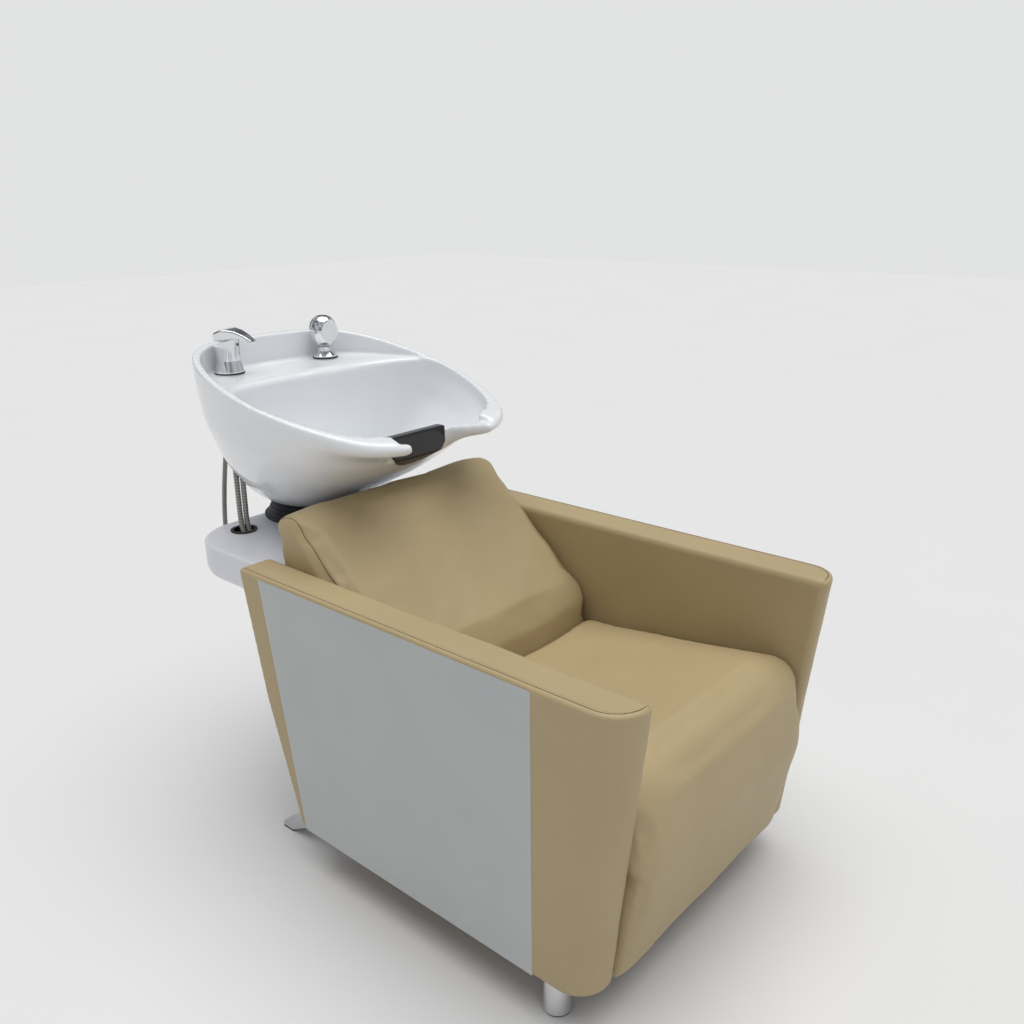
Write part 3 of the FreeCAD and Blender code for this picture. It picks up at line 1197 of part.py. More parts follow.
def make_waste():
    """Waste flange, lift-out strainer, gasket, back nut and tail pipe under the basin."""
    at = ("0", "waste_y")
    flange = rod("WasteFlangeDisc", "waste_flange_radius", "waste_flange_thick", at + ("basin_floor",))
    pipe = rod("WastePipe", "waste_tail_radius", "basin_floor - waste_tail_end", at + ("waste_tail_end",))
    bore = rod("WasteBore", "waste_tail_radius - waste_tail_wall",
               "basin_floor - waste_tail_end + 2 * overrun", at + ("waste_tail_end - overrun",))
    keep(cut("Waste", fuse("WasteBlank", [flange, pipe]), [bore]), "waste_flange")
    cup = rod("StrainerCup", "waste_tail_radius - waste_tail_wall - strainer_slack", "strainer_deep",
              at + ("basin_floor + waste_flange_thick - strainer_deep",))
    rim = rod("StrainerRim", "waste_tail_radius + waste_tail_wall", "waste_tail_wall",
              at + ("basin_floor + waste_flange_thick + gap_fine",))
    neck = rod("StrainerNeck", "waste_tail_radius - waste_tail_wall - strainer_slack", "gap_fine",
               at + ("basin_floor + waste_flange_thick",))
    hollow = rod("StrainerHollow", "strainer_radius - waste_tail_wall", "strainer_deep",
                 at + ("basin_floor + waste_flange_thick - strainer_deep + waste_tail_wall",))
    drills = [hollow]
    ring = size("strainer_radius") * 0.55
    for turn in range(6):
        angle = math.radians(turn * 60)
        hole = DOC.addObject("Part::Cylinder", f"StrainerDrill{turn}")
        hole.setExpression("Radius", bind("strainer_hole_radius"))
        hole.setExpression("Height", bind("strainer_deep"))
        place(hole, (f"strainer_radius * {0.55 * math.cos(angle):.6f}",
                     f"waste_y + strainer_radius * {0.55 * math.sin(angle):.6f}",
                     "basin_floor + waste_flange_thick - strainer_deep - overrun"))
        drills.append(hole)
    keep(cut("Strainer", fuse("StrainerBlank", [cup, neck, rim]), drills), "waste_strainer")
    gasket = cut("WasteGasket",
                 rod("WasteGasketDisc", "waste_nut_radius", "waste_gasket_thick",
                     at + ("bowl_foot - waste_gasket_thick",)),
                 [rod("WasteGasketHole", "waste_tail_radius", "waste_gasket_thick + 2 * overrun",
                      at + ("bowl_foot - waste_gasket_thick - overrun",))])
    keep(gasket, "waste_gasket")
    nut = cut("WasteNut",
              rod("WasteNutDisc", "waste_nut_radius", "waste_nut_thick",
                  at + ("bowl_foot - waste_gasket_thick - waste_nut_thick",)),
              [rod("WasteNutHole", "waste_tail_radius", "waste_nut_thick + 2 * overrun",
                   at + ("bowl_foot - waste_gasket_thick - waste_nut_thick - overrun",))])
    keep(nut, "waste_nut")


def make_mixer():
    """Single-lever mixer: body with shank, cartridge, stem, lever and index dot."""
    body = start_body("MixerBody")
    revolve_outline(body, [
        ("shank_radius - shank_wall", "-shank_long"),
        ("shank_radius", "-shank_long"),
        ("shank_radius", "0"),
        ("mixer_base_radius", "0"),
        ("mixer_base_radius", "gasket_thick"),
        ("mixer_waist_radius", "mixer_tall * 0.35"),
        ("mixer_head_radius", "mixer_tall"),
        ("mixer_bore", "mixer_tall"),
        ("mixer_bore", "mixer_tall - mixer_bore_deep"),
        ("shank_radius - shank_wall", "mixer_tall - mixer_bore_deep"),
    ])
    reach = "mixer_head_radius"
    pocket_outline(body, "YZ_Plane", [
        (f"-{reach}", "mixer_tall"),
        (f"{reach}", "mixer_tall - mixer_slant"),
        (f"{reach} + overrun", "mixer_tall + overrun"),
        (f"-{reach}", "mixer_tall + overrun"),
    ], f"2 * {reach} + 2 * overrun", f"-{reach} - overrun", True)
    turned = FreeCAD.Rotation(Vector(0, 0, 1), size("lever_turn"))
    place(body, ("-tap_x", "tap_y", "tap_seat"), turned)
    dot = rod("IndexDot", "index_radius", "index_thick",
              ("-tap_x + (mixer_head_radius - index_thick / 2) * sin(lever_turn * 1deg)",
               "tap_y - (mixer_head_radius - index_thick / 2) * cos(lever_turn * 1deg)",
               "mixer_top - 4 * index_radius"), turned.multiply(FreeCAD.Rotation(Vector(1, 0, 0), 90)))
    keep(dot, "mixer_index")
    keep(cut("MixerBodyWithPocket", body, [dot]), "mixer_body")
    keep(rod("Cartridge", "mixer_bore", "cartridge_tall", ("-tap_x", "tap_y", "mixer_top - mixer_bore_deep")),
         "mixer_cartridge")
    dome = DOC.addObject("Part::Sphere", "KnuckleDome")
    dome.Angle1 = 0
    dome.setExpression("Radius", bind("knuckle_radius"))
    place(dome, ("-tap_x", "tap_y", "lever_pivot_z"))
    skirt = rod("KnuckleSkirt", "knuckle_radius", "knuckle_skirt",
                ("-tap_x", "tap_y", "lever_pivot_z - knuckle_skirt"))
    stem = rod("KnuckleStem", "knuckle_skirt",
               "mixer_bore_deep - cartridge_tall - knuckle_drop - knuckle_skirt",
               ("-tap_x", "tap_y", "mixer_top - mixer_bore_deep + cartridge_tall"))
    # The pin on which the lever lifts lies inside the knuckle.
    pin_parts = []
    for name, radius, half_long in (("KnuckleEye", "lever_pin_radius + pin_slack", "2 * knuckle_radius"),
                                    ("LeverPin", "lever_pin_radius", "lever_pin_half")):
        pin_parts.append(rod(name, radius, f"2 * {half_long}",
                             (f"-tap_x - {half_long} * cos(lever_turn * 1deg)",
                              f"tap_y - {half_long} * sin(lever_turn * 1deg)", "lever_pivot_z"),
                             turned.multiply(ALONG["+x"])))
    eye, pin = pin_parts
    drilled = cut("DrilledKnuckle", fuse("KnuckleBlank", [dome, skirt, stem]), [eye])
    keep(group("Knuckle", [drilled, pin]), "mixer_knuckle")

    # The lever is drawn pointing to the front, then turned towards the basin.
    lever = start_body("Lever")
    pad_outline(lever, "YZ_Plane", [
        (reach, "-lever_skirt"),
        (reach, "lever_rise * 0.2"),
        (f"{reach} * 0.52", "lever_rise * 0.65"),
        ("0", "lever_rise * 0.95"),
        (f"-{reach} * 0.45", "lever_rise"),
        ("-lever_reach * 0.45", "lever_rise * 0.85"),
        ("-lever_reach * 0.72", "lever_rise * 0.45"),
        ("-lever_reach * 0.9", "lever_rise * 0.06"),
        ("-lever_reach", "-lever_drop * 0.4"),
        ("-lever_reach", "-lever_drop * 0.85"),
        ("-lever_reach * 0.94", "-lever_drop"),
        ("-lever_reach * 0.78", "-lever_drop * 0.3"),
        ("-lever_reach * 0.6", "lever_gap"),
        (f"-{reach}", "lever_gap"),
    ], f"2 * {reach}", f"-{reach}")
    trim = start_body("LeverTrim")
    pad_outline(trim, "XY_Plane", [
        ("-lever_tip_half * 0.8", "-lever_reach - overrun"),
        ("lever_tip_half * 0.8", "-lever_reach - overrun"),
        ("lever_tip_half", "-lever_reach * 0.9"),
        (f"{reach} * 0.7", f"-{reach} * 0.8"),
        (reach, f"-{reach} * 0.3"),
        (reach, f"{reach} * 0.4"),
        (f"{reach} * 0.72", f"{reach} * 0.72"),
        (f"{reach} * 0.35", f"{reach} * 0.94"),
        (f"-{reach} * 0.35", f"{reach} * 0.94"),
        (f"-{reach} * 0.72", f"{reach} * 0.72"),
        (f"-{reach}", f"{reach} * 0.4"),
        (f"-{reach}", f"-{reach} * 0.3"),
        (f"-{reach} * 0.7", f"-{reach} * 0.8"),
        ("-lever_tip_half", "-lever_reach * 0.9"),
    ], "2 * lever_reach", "-lever_reach")
    blank = DOC.addObject("Part::Common", "LeverBlank")
    blank.Base = lever
    blank.Tool = trim
    room = DOC.addObject("Part::Sphere", "LeverRoom")
    room.setExpression("Radius", bind("knuckle_radius + knuckle_gap"))
    place(room, ("0", "0", "-knuckle_drop"))
    hollow = cut("LeverHollow", blank, [room])
    place(hollow, ("-tap_x", "tap_y", "mixer_top"), turned)
    keep(hollow, "mixer_lever")

    gaskets = []
    nuts = []
    for side, radius in (("-", "gasket_radius"), ("", "holder_base_radius + gasket_thick / 2")):
        at = (f"{side}tap_x", "tap_y")
        tag = len(gaskets)
        gaskets.append(cut(f"DeckGasket{tag}",
                           rod(f"DeckGasketDisc{tag}", radius, "gasket_thick", at + ("deck_height",)),
                           [rod(f"DeckGasketHole{tag}", "shank_radius", "gasket_thick + 2 * overrun",
                                at + ("deck_height - overrun",))]))
        nuts.append(cut(f"DeckNut{tag}",
                        rod(f"DeckNutDisc{tag}", "deck_nut_radius", "deck_nut_thick",
                            at + ("deck_height - deck_thick - deck_nut_thick",)),
                        [rod(f"DeckNutHole{tag}", "shank_radius", "deck_nut_thick + 2 * overrun",
                             at + ("deck_height - deck_thick - deck_nut_thick - overrun",))]))
    keep(group("DeckGaskets", gaskets), "deck_gaskets")
    keep(group("DeckNuts", nuts), "deck_nuts")


def make_shower():
    """Shower holder on the deck, and the egg-shaped hand shower that lifts out of it."""
    holder = start_body("Holder")
    revolve_outline(holder, [
        ("holder_bore", "-shank_long"),
        ("shank_radius", "-shank_long"),
        ("shank_radius", "0"),
        ("holder_base_radius", "0"),
        ("holder_base_radius", "gasket_thick"),
        ("holder_top_radius", "holder_tall * 0.6"),
        ("holder_top_radius", "holder_tall"),
        ("holder_bore", "holder_tall"),
    ])
    place(holder, ("tap_x", "tap_y", "tap_seat"))
    keep(holder, "shower_holder")

    # The egg: a half outline turned once round the upright axis, with a straight neck below.
    tall = size("head_tall")
    wide = size("head_radius")
    neck = size("head_neck_radius")
    low = size("gap_fine")
    egg_curve = Part.BSplineCurve()
    egg_points = [Vector(neck * 1.5, 0, low), Vector(wide * 0.72, 0, low + tall * 0.16),
                  Vector(wide, 0, low + tall * 0.5), Vector(wide * 0.74, 0, low + tall * 0.87),
                  Vector(0, 0, low + tall)]
    egg_curve.interpolate(Points=egg_points)
    edges = [
        egg_curve.toShape(),
        Part.makeLine(Vector(0, 0, low + tall), Vector(0, 0, -size("head_neck_long"))),
        Part.makeLine(Vector(0, 0, -size("head_neck_long")), Vector(neck, 0, -size("head_neck_long"))),
        Part.makeLine(Vector(neck, 0, -size("head_neck_long")), Vector(neck, 0, low)),
        Part.makeLine(Vector(neck, 0, low), Vector(neck * 1.5, 0, low)),
    ]
    egg = Part.Face(Part.Wire(edges)).revolve(Vector(0, 0, 0), Vector(0, 0, 1), 360)
    # A flat for the spray face, turned to the front.
    face_y = -math.sqrt(wide ** 2 - size("face_radius") ** 2) - size("face_thick") / 2
    middle = low + tall / 2
    slice_box = Part.makeBox(4 * wide, 2 * wide, 2 * tall, Vector(-2 * wide, face_y - 2 * wide, -tall / 2))
    egg = egg.cut(slice_box)
    head = custom("ShowerHead", egg)
    place(head, ("tap_x", "tap_y", "tap_seat + holder_tall"))
    keep(head, "shower_head")
    disc = Part.makeCylinder(size("face_radius"), size("face_thick"), Vector(0, face_y, middle),
                             Vector(0, -1, 0))
    nozzles = []
    for ring in (1, 2, 3):
        for step in range(6 * ring):
            angle = 2 * math.pi * step / (6 * ring)
            out = size("face_radius") * ring / 4
            spot = Vector(out * math.cos(angle), face_y - size("face_thick"), middle + out * math.sin(angle))
            nozzles.append(Part.makeCylinder(size("nozzle_radius"), size("nozzle_radius"), spot,
                                             Vector(0, 1, 0)))
    plate = custom("SprayFace", disc.cut(Part.makeCompound(nozzles)))
    place(plate, ("tap_x", "tap_y", "tap_seat + holder_tall"))
    keep(plate, "spray_face")


def hose_path(points):
    """Straight runs joined by tangent arcs, each as large as its two runs allow."""
    edges = []
    here = points[0]
    radii = []
    for i in range(1, len(points) - 1):
        back = points[i - 1] - points[i]
        ahead = points[i + 1] - points[i]
        step = 0.45 * min(back.Length, ahead.Length)
        back.normalize()
        ahead.normalize()
        half = back.getAngle(ahead) / 2
        radius = step * math.tan(half)
        start = points[i] + back * step
        end = points[i] + ahead * step
        towards = back + ahead
        towards.normalize()
        middle = points[i] + towards * (radius / math.sin(half) - radius)
        edges.append(Part.LineSegment(here, start).toShape())
        edges.append(Part.Arc(start, middle, end).toShape())
        radii.append(radius)
        here = end
    edges.append(Part.LineSegment(here, points[-1]).toShape())
    return Part.Wire(edges), radii


def hose(label, points, radius, wall=0):
    """A tube along the path; a wall above zero leaves its bore open."""
    path, radii = hose_path([Vector(*point) for point in points])
    start = path.Edges[0].valueAt(path.Edges[0].FirstParameter)
    heading = path.Edges[0].tangentAt(path.Edges[0].FirstParameter)
    ring = Part.Wire([Part.makeCircle(radius, start, heading)])
    shape = path.makePipeShell([ring], True, False)
    expected = math.pi * radius ** 2 * path.Length
    if wall > 0:
        bore = Part.Wire([Part.makeCircle(radius - wall, start, heading)])
        shape = shape.cut(path.makePipeShell([bore], True, False))
        expected -= math.pi * (radius - wall) ** 2 * path.Length
    print(label, "length", round(path.Length, 1), "least radius", round(min(radii), 1),
          "volume ratio", round(shape.Volume / expected, 4))
    thing = custom(label.title().replace("_", ""), shape)
    keep(thing, label)


# Hose routes, chosen by hand, from the base of the chair through the platform into the bowl.
HOT_ROUTE = [(-80, 62, 153), (-80, 62, 196), (-83, 68, 244), (-89, 84, 300), (-98, 108, 358),
             (-108, 134, 418), (-120, 164, 474), (-134, 200, 522), (-149, 244, 548), (-164, 294, 558),
             (-177, 344, 560),
             (-186, 392, 562), (-191, 439, 569), (-194, 471, 588), (-193, 483, 618), (-189, 489, 660),
             (-183, 497, 704), (-173, 512, 746), (-162, 530, 788), (-150, 546, 820), (-139, 555, 850),
             (-133, 559, 880), (-133, 558, 905)]
COLD_ROUTE = [(-45, 62, 153), (-45, 62, 198), (-50, 70, 248), (-60, 88, 306), (-73, 112, 366),
              (-88, 140, 424), (-103, 171, 480), (-119, 208, 526), (-135, 250, 549), (-150, 298, 557), (-163, 346, 559),
              (-172, 393, 561), (-178, 439, 568), (-181, 470, 588), (-181, 480, 618), (-178, 483, 661),
              (-173, 489, 706), (-164, 503, 748), (-153, 520, 790), (-140, 535, 822), (-128, 550, 852),
              (-121, 559, 880), (-121, 558, 905)]
SHOWER_ROUTE = [(-127, 569, 905), (-127, 569, 880), (-133, 568, 850), (-144, 563, 814), (-155, 563, 775),
                (-166, 561, 730), (-175, 561, 680), (-181, 562, 630), (-184, 563, 580), (-182, 564, 534),
                (-168, 566, 494), (-136, 569, 462), (-92, 571, 442), (-42, 572, 433), (10, 572, 432),
                (62, 571, 438), (108, 569, 454), (146, 567, 482), (170, 565, 522), (180, 564, 570),
                (180, 562, 622), (174, 561, 676), (166, 562, 730), (155, 563, 776), (143, 564, 815),
                (131, 565, 850), (127, 562, 876), (127, 562, 897)]
WASTE_ROUTE = [(0, 428, 604), (0, 428, 586), (0, 421, 569), (0, 408.5, 556.5), (0, 392, 550), (0, 372, 550),
               (0, 340, 552), (0, 304, 555), (0, 264, 553), (0, 231, 539), (0, 204, 512), (0, 182, 474),
               (0, 164, 430), (0, 145, 378), (0, 121, 326), (0, 90, 283), (0, 62, 244), (0, 62, 200)]


def make_hoses():
    """Supply hoses, shower hose and waste hose, with their ends held on a plate inside the base."""
    hose("hot_supply_hose", HOT_ROUTE, size("supply_radius"))
    hose("cold_supply_hose", COLD_ROUTE, size("supply_radius"))
    hose("shower_hose", SHOWER_ROUTE, size("shower_hose_radius"))
    hose("waste_hose", WASTE_ROUTE, size("waste_tail_radius"), size("waste_tail_wall"))


def make_services():
    """Bracket on the rear rail with the swivel nuts of the supplies and the rigid waste outlet."""
    shelf = block("BracketShelf", ("-bracket_near", "bracket_far"), ("bracket_front", "rail_inner_y"),
                  ("bracket_top - bracket_thick", "bracket_top"))
    wall = block("BracketWall", ("-bracket_near", "-waste_tail_radius - bracket_space"),
                 ("rail_inner_y - bracket_thick", "rail_inner_y"), ("bracket_low", "bracket_top"))
    holes = []
    nuts = []
    for inlet in ("hot_inlet_x", "cold_inlet_x"):
        at = (f"-{inlet}", "service_y")
        holes.append(rod(f"BracketHole{inlet}", "inlet_neck_radius", "bracket_thick + 2 * overrun",
                         at + ("bracket_top - bracket_thick - overrun",)))
        barrel = DOC.addObject("Part::Prism", f"InletBarrel{inlet}")
        barrel.Polygon = 6
        barrel.setExpression("Circumradius", bind("inlet_nut_radius"))
        barrel.setExpression("Height", bind("inlet_nut_long"))
        place(barrel, at + ("bracket_top - bracket_thick - inlet_nut_long",))
        neck = rod(f"InletNeck{inlet}", "inlet_neck_radius", "bracket_thick",
                   at + ("bracket_top - bracket_thick",))
        bore = rod(f"InletBore{inlet}", "inlet_bore", "inlet_bore_deep + overrun",
                   at + ("bracket_top - bracket_thick - inlet_nut_long - overrun",))
        nuts.append(cut(f"InletNut{inlet}", fuse(f"InletBlank{inlet}", [barrel, neck]), [bore]))
    keep(group("InletNuts", nuts), "inlet_nuts")
    at = ("0", "service_y")
    holes.append(rod("BracketWasteHole", "waste_tail_radius", "bracket_thick + 2 * overrun",
                     at + ("bracket_top - bracket_thick - overrun",)))
    holes.append(block("BracketSlot", ("-waste_tail_radius", "waste_tail_radius"),
                       ("bracket_front - overrun", "service_y"),
                       ("bracket_top - bracket_thick - overrun", "bracket_top + overrun")))
    keep(cut("Bracket", fuse("BracketBlank", [shelf, wall]), holes), "service_bracket")
    outlet = start_body("Outlet")
    bore = "waste_tail_radius - waste_tail_wall"
    collar = "waste_tail_radius + outlet_collar"
    revolve_outline(outlet, [
        (bore, "outlet_low"),
        ("outlet_radius", "outlet_low"),
        ("outlet_radius", "outlet_shoulder"),
        ("waste_tail_radius", "outlet_shoulder + waste_tail_radius - outlet_radius"),
        ("waste_tail_radius", "bracket_top"),
        (collar, "bracket_top"),
        (collar, "bracket_top + outlet_collar"),
        ("waste_tail_radius", "bracket_top + outlet_collar"),
        ("waste_tail_radius", "outlet_high"),
        (bore, "outlet_high"),
    ])
    place(outlet, at + ("0",))
    keep(outlet, "waste_outlet")


DOC_STEPS = [make_arms, make_seat, make_back, make_frame, make_legs, make_platform, make_bowl, make_neck_rest,
             make_tilt, make_waste, make_mixer, make_shower, make_hoses, make_services]


def check_and_write():
    DOC.recompute()
    for thing in DOC.Objects:
        if "Invalid" in thing.State or "Error" in thing.State:
            raise RuntimeError(f"{thing.Label} failed: {thing.State}")
    os.makedirs("parts", exist_ok=True)
    for thing in PARTS:
        shape = thing.Shape
        if shape.isNull() or not shape.isValid() or not shape.Solids:
            raise RuntimeError(f"{thing.Label} has no valid solid")
        box = shape.optimalBoundingBox(False, False)
        print(f"{thing.Label:24s} {len(shape.Solids)} solids, volume {shape.Volume / 1000:9.1f} cm3, "
              f"x {box.XMin:.1f} {box.XMax:.1f}, y {box.YMin:.1f} {box.YMax:.1f}, "
              f"z {box.ZMin:.1f} {box.ZMax:.1f}")
        shape.exportStep(f"parts/{thing.Label}.step")
    print(len(PARTS), "nodes")


fill_sheet()
for step in DOC_STEPS:
    step()
check_and_write()
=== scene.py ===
"""Looks of an upholstered hair washing bed: armchair, tilting ceramic bowl, tap, shower, hoses."""

import json
import math

import bmesh
import bpy
import numpy as np
from bpy.props import FloatProperty, FloatVectorProperty, IntProperty, PointerProperty
from mathutils import Matrix, Vector, noise
from mathutils.bvhtree import BVHTree
from mathutils.kdtree import KDTree


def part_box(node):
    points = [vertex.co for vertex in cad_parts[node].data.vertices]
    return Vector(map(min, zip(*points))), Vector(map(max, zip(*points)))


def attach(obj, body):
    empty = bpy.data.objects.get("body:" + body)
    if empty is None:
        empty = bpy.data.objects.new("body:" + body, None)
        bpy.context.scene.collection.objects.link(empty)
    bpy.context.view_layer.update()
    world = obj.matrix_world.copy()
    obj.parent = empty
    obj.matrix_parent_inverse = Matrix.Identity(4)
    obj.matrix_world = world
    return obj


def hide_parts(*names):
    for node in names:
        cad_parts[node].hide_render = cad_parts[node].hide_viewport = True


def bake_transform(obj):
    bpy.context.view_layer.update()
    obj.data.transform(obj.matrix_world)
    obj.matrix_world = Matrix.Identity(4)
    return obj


bl_info = {
    "name": "Hair Washing Bed",
    "version": (1, 0, 0),
    "blender": (4, 5, 0),
    "location": "3D View > Sidebar > Wash Bed",
    "description": "Builds the covers, ceramic, fittings, hoses and finishes of a hair washing bed",
    "category": "Add Mesh",
}

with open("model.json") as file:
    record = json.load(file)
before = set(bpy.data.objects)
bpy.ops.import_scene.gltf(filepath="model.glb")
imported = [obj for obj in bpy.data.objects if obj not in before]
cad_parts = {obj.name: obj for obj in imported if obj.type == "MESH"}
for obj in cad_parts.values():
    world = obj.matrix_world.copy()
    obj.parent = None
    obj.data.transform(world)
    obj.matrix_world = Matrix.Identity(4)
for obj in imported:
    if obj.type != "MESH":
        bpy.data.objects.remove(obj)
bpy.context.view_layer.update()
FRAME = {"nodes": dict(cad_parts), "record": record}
MM = 0.001
CHAIR, BOWL, LEVER = "chair", "bowl", "mixer_lever"

# Routes of the hoses, in millimetres, from the base of the chair up into the bowl.
HOT_ROUTE = [(-80, 62, 153), (-80, 62, 196), (-83, 68, 244), (-89, 84, 300), (-98, 108, 358),
             (-108, 134, 418), (-120, 164, 474), (-134, 200, 522), (-149, 244, 548), (-164, 294, 558),
             (-177, 344, 560), (-186, 392, 562), (-191, 439, 569), (-194, 471, 588), (-193, 483, 618),
             (-189, 489, 660), (-183, 497, 704), (-173, 512, 746), (-162, 530, 788), (-150, 546, 820),
             (-139, 555, 850), (-133, 559, 880), (-133, 558, 905)]
COLD_ROUTE = [(-45, 62, 153), (-45, 62, 198), (-50, 70, 248), (-60, 88, 306), (-73, 112, 366),
              (-88, 140, 424), (-103, 171, 480), (-119, 208, 526), (-135, 250, 549), (-150, 298, 557),
              (-163, 346, 559), (-172, 393, 561), (-178, 439, 568), (-181, 470, 588), (-181, 480, 618),
              (-178, 483, 661), (-173, 489, 706), (-164, 503, 748), (-153, 520, 790), (-140, 535, 822),
              (-128, 550, 852), (-121, 559, 880), (-121, 558, 905)]
SHOWER_ROUTE = [(-127, 569, 905), (-127, 569, 880), (-133, 568, 850), (-144, 563, 814),
                (-155, 563, 775), (-166, 561, 730), (-175, 561, 680), (-181, 562, 630),
                (-184, 563, 580), (-182, 564, 534), (-168, 566, 494), (-136, 569, 462),
                (-92, 571, 442), (-42, 572, 433), (10, 572, 432), (62, 571, 438), (108, 569, 454),
                (146, 567, 482), (170, 565, 522), (180, 564, 570), (180, 562, 622), (174, 561, 676),
                (166, 562, 730), (155, 563, 776), (143, 564, 815), (131, 565, 850), (127, 562, 876),
                (127, 562, 897)]
WASTE_ROUTE = [(0, 428, 604), (0, 428, 586), (0, 421, 569), (0, 408.5, 556.5), (0, 392, 550),
               (0, 372, 550), (0, 340, 552), (0, 304, 555), (0, 264, 553), (0, 231, 539),
               (0, 204, 512), (0, 182, 474), (0, 164, 430), (0, 145, 378), (0, 121, 326), (0, 90, 283),
               (0, 62, 244), (0, 62, 200)]


# Shader maths


class Wire:
    """A socket on which Python's operators add Math nodes."""

    def __init__(self, shader, socket):
        self.shader = shader
        self.socket = socket

    def maths(self, operation, *others):
        return self.shader.node("ShaderNodeMath", {"operation": operation}, *others)

    def __add__(self, other):
        return self.maths("ADD", self, other)

    def __radd__(self, other):
        return self.maths("ADD", other, self)

    def __sub__(self, other):
        return self.maths("SUBTRACT", self, other)

    def __rsub__(self, other):
        return self.maths("SUBTRACT", other, self)

    def __mul__(self, other):
        return self.maths("MULTIPLY", self, other)

    def __rmul__(self, other):
        return self.maths("MULTIPLY", other, self)

    def sine(self):
        return self.maths("SINE", self)

    def part(self, name):
        """One output of the node this wire comes from."""
        return Wire(self.shader, self.socket.node.outputs[name])


class Finish:
    """A material being built around one Principled BSDF."""

    def __init__(self, name):
        self.material = bpy.data.materials.new(name)
        self.material.use_nodes = True
        self.tree = self.material.node_tree
        self.bsdf = next(node for node in self.tree.nodes if node.type == "BSDF_PRINCIPLED")

    def node(self, kind, settings, *values, out=0, **named):
        made = self.tree.nodes.new(kind)
        for key, value in settings.items():
            setattr(made, key, value)
        for key, value in list(enumerate(values)) + list(named.items()):
            self.feed(made.inputs[key], value)
        return Wire(self, made.outputs[out])

    def feed(self, socket, value):
        if isinstance(value, Wire):
            self.tree.links.new(value.socket, socket)
        else:
            socket.default_value = value

    def place(self, stretch=(1, 1, 1)):
        """Coordinates of the surface, stretched along the axes."""
        where = self.node("ShaderNodeTexCoord", {}, out="Object")
        return self.node("ShaderNodeMapping", {}, where, Scale=stretch)

    def noise(self, where, scale, detail=3.0, rough=0.5):
        return self.node("ShaderNodeTexNoise", {}, Vector=where, Scale=scale, Detail=detail, Roughness=rough)

    def cells(self, where, scale, feature="F1"):
        return self.node("ShaderNodeTexVoronoi", {"feature": feature}, Vector=where, Scale=scale,
                         Randomness=1.0)

    def spread(self, wire, low, high):
        """A wire from 0 to 1 brought to run from low to high."""
        return wire * (high - low) + low

    def steps(self, wire, low, high):
        """A wire cut to 0 under low and 1 over high."""
        return self.node("ShaderNodeMapRange", {"interpolation_type": "SMOOTHSTEP"}, wire, low, high)

    def colours(self, share, first, second):
        made = self.tree.nodes.new("ShaderNodeMix")
        made.data_type = "RGBA"
        self.feed(made.inputs[0], share)
        for socket, value in ((made.inputs[6], first), (made.inputs[7], second)):
            self.feed(socket, value if isinstance(value, Wire) else (*value, 1.0))
        return Wire(self, made.outputs[2])

    def bump(self, height, strength, distance):
        return self.node("ShaderNodeBump", {}, Height=height, Strength=strength, Distance=distance)

    def surface(self, **sockets):
        """Sets the Principled BSDF's sockets; underscores stand for spaces."""
        for key, value in sockets.items():
            name = key.replace("_", " ")
            if isinstance(value, tuple) and len(value) == 3:
                value = (*value, 1.0)
            self.feed(self.bsdf.inputs[name], value)
        return self.material


def shade(colour, factor):
    """A colour made darker or lighter."""
    return tuple(min(1.0, channel * factor) for channel in colour)


def leather(name, colour, grain=1.0):
    """Coated upholstery fabric: fine pebbled grain with painted shade in the hollows of its grain, soft
    clouding and slight wear.
    """
    finish = Finish(name)
    where = finish.place()
    pebbles = finish.cells(where, 620 / grain, "SMOOTH_F1")
    pores = finish.noise(where, 1500 / grain, 4.0, 0.6)
    clouds = finish.noise(where, 7.0, 2.0, 0.5)
    soiling = finish.noise(where, 34.0, 4.0, 0.6)
    tone = finish.colours(clouds, shade(colour, 0.93), shade(colour, 1.05))
    # Painted shade: the grain's hollows, where the bump sinks, are darkened towards 0.72 of the colour.
    painted_valley_shade = finish.steps(pebbles, 0.35, 0.9)
    tone = finish.colours(painted_valley_shade * 0.22, tone, shade(colour, 0.72))
    height = pebbles * -1.0 + pores * 0.35
    fine = finish.bump(height, 0.16, 0.0004)
    return finish.surface(Base_Color=tone, Roughness=finish.spread(soiling, 0.40, 0.56),
                          Specular_IOR_Level=0.38, Normal=fine)


def moulded(name, colour, roughness, texture=0.06):
    """Moulded plastic: an even skin with a faint texture and handling marks."""
    finish = Finish(name)
    where = finish.place()
    skin = finish.noise(where, 900.0, 2.0)
    marks = finish.noise(where, 12.0, 5.0, 0.65)
    tone = finish.colours(marks, shade(colour, 0.96), shade(colour, 1.03))
    return finish.surface(Base_Color=tone, Roughness=finish.spread(marks, roughness * 0.85, roughness * 1.2),
                          Normal=finish.bump(skin, texture, 0.0003))


def glaze(name, colour):
    """Glazed ceramic: deep even gloss over a very slightly wavy body."""
    finish = Finish(name)
    where = finish.place()
    waves = finish.noise(where, 16.0, 1.0)
    clouds = finish.noise(where, 4.0, 2.0)
    tone = finish.colours(clouds, shade(colour, 0.985), shade(colour, 1.01))
    return finish.surface(Base_Color=tone, Roughness=finish.spread(clouds, 0.09, 0.14),
                          Normal=finish.bump(waves, 0.05, 0.002), Coat_Weight=0.3)


def metal(name, colour, roughness, brushed=None):
    """Metal with fine smudges, or brushed along an axis."""
    finish = Finish(name)
    stretch = {None: (1, 1, 1), "x": (0.02, 1, 1), "y": (1, 0.02, 1), "z": (1, 1, 0.02)}[brushed]
    where = finish.place(stretch)
    streaks = finish.noise(where, 9.0 if brushed is None else 900.0, 5.0, 0.6)
    tone = finish.colours(streaks, shade(colour, 0.93), shade(colour, 1.04))
    strength = 0.02 if brushed is None else 0.12
    return finish.surface(Base_Color=tone, Metallic=1.0,
                          Roughness=finish.spread(streaks, roughness * 0.6, roughness * 1.5),
                          Normal=finish.bump(streaks, strength, 0.0003))


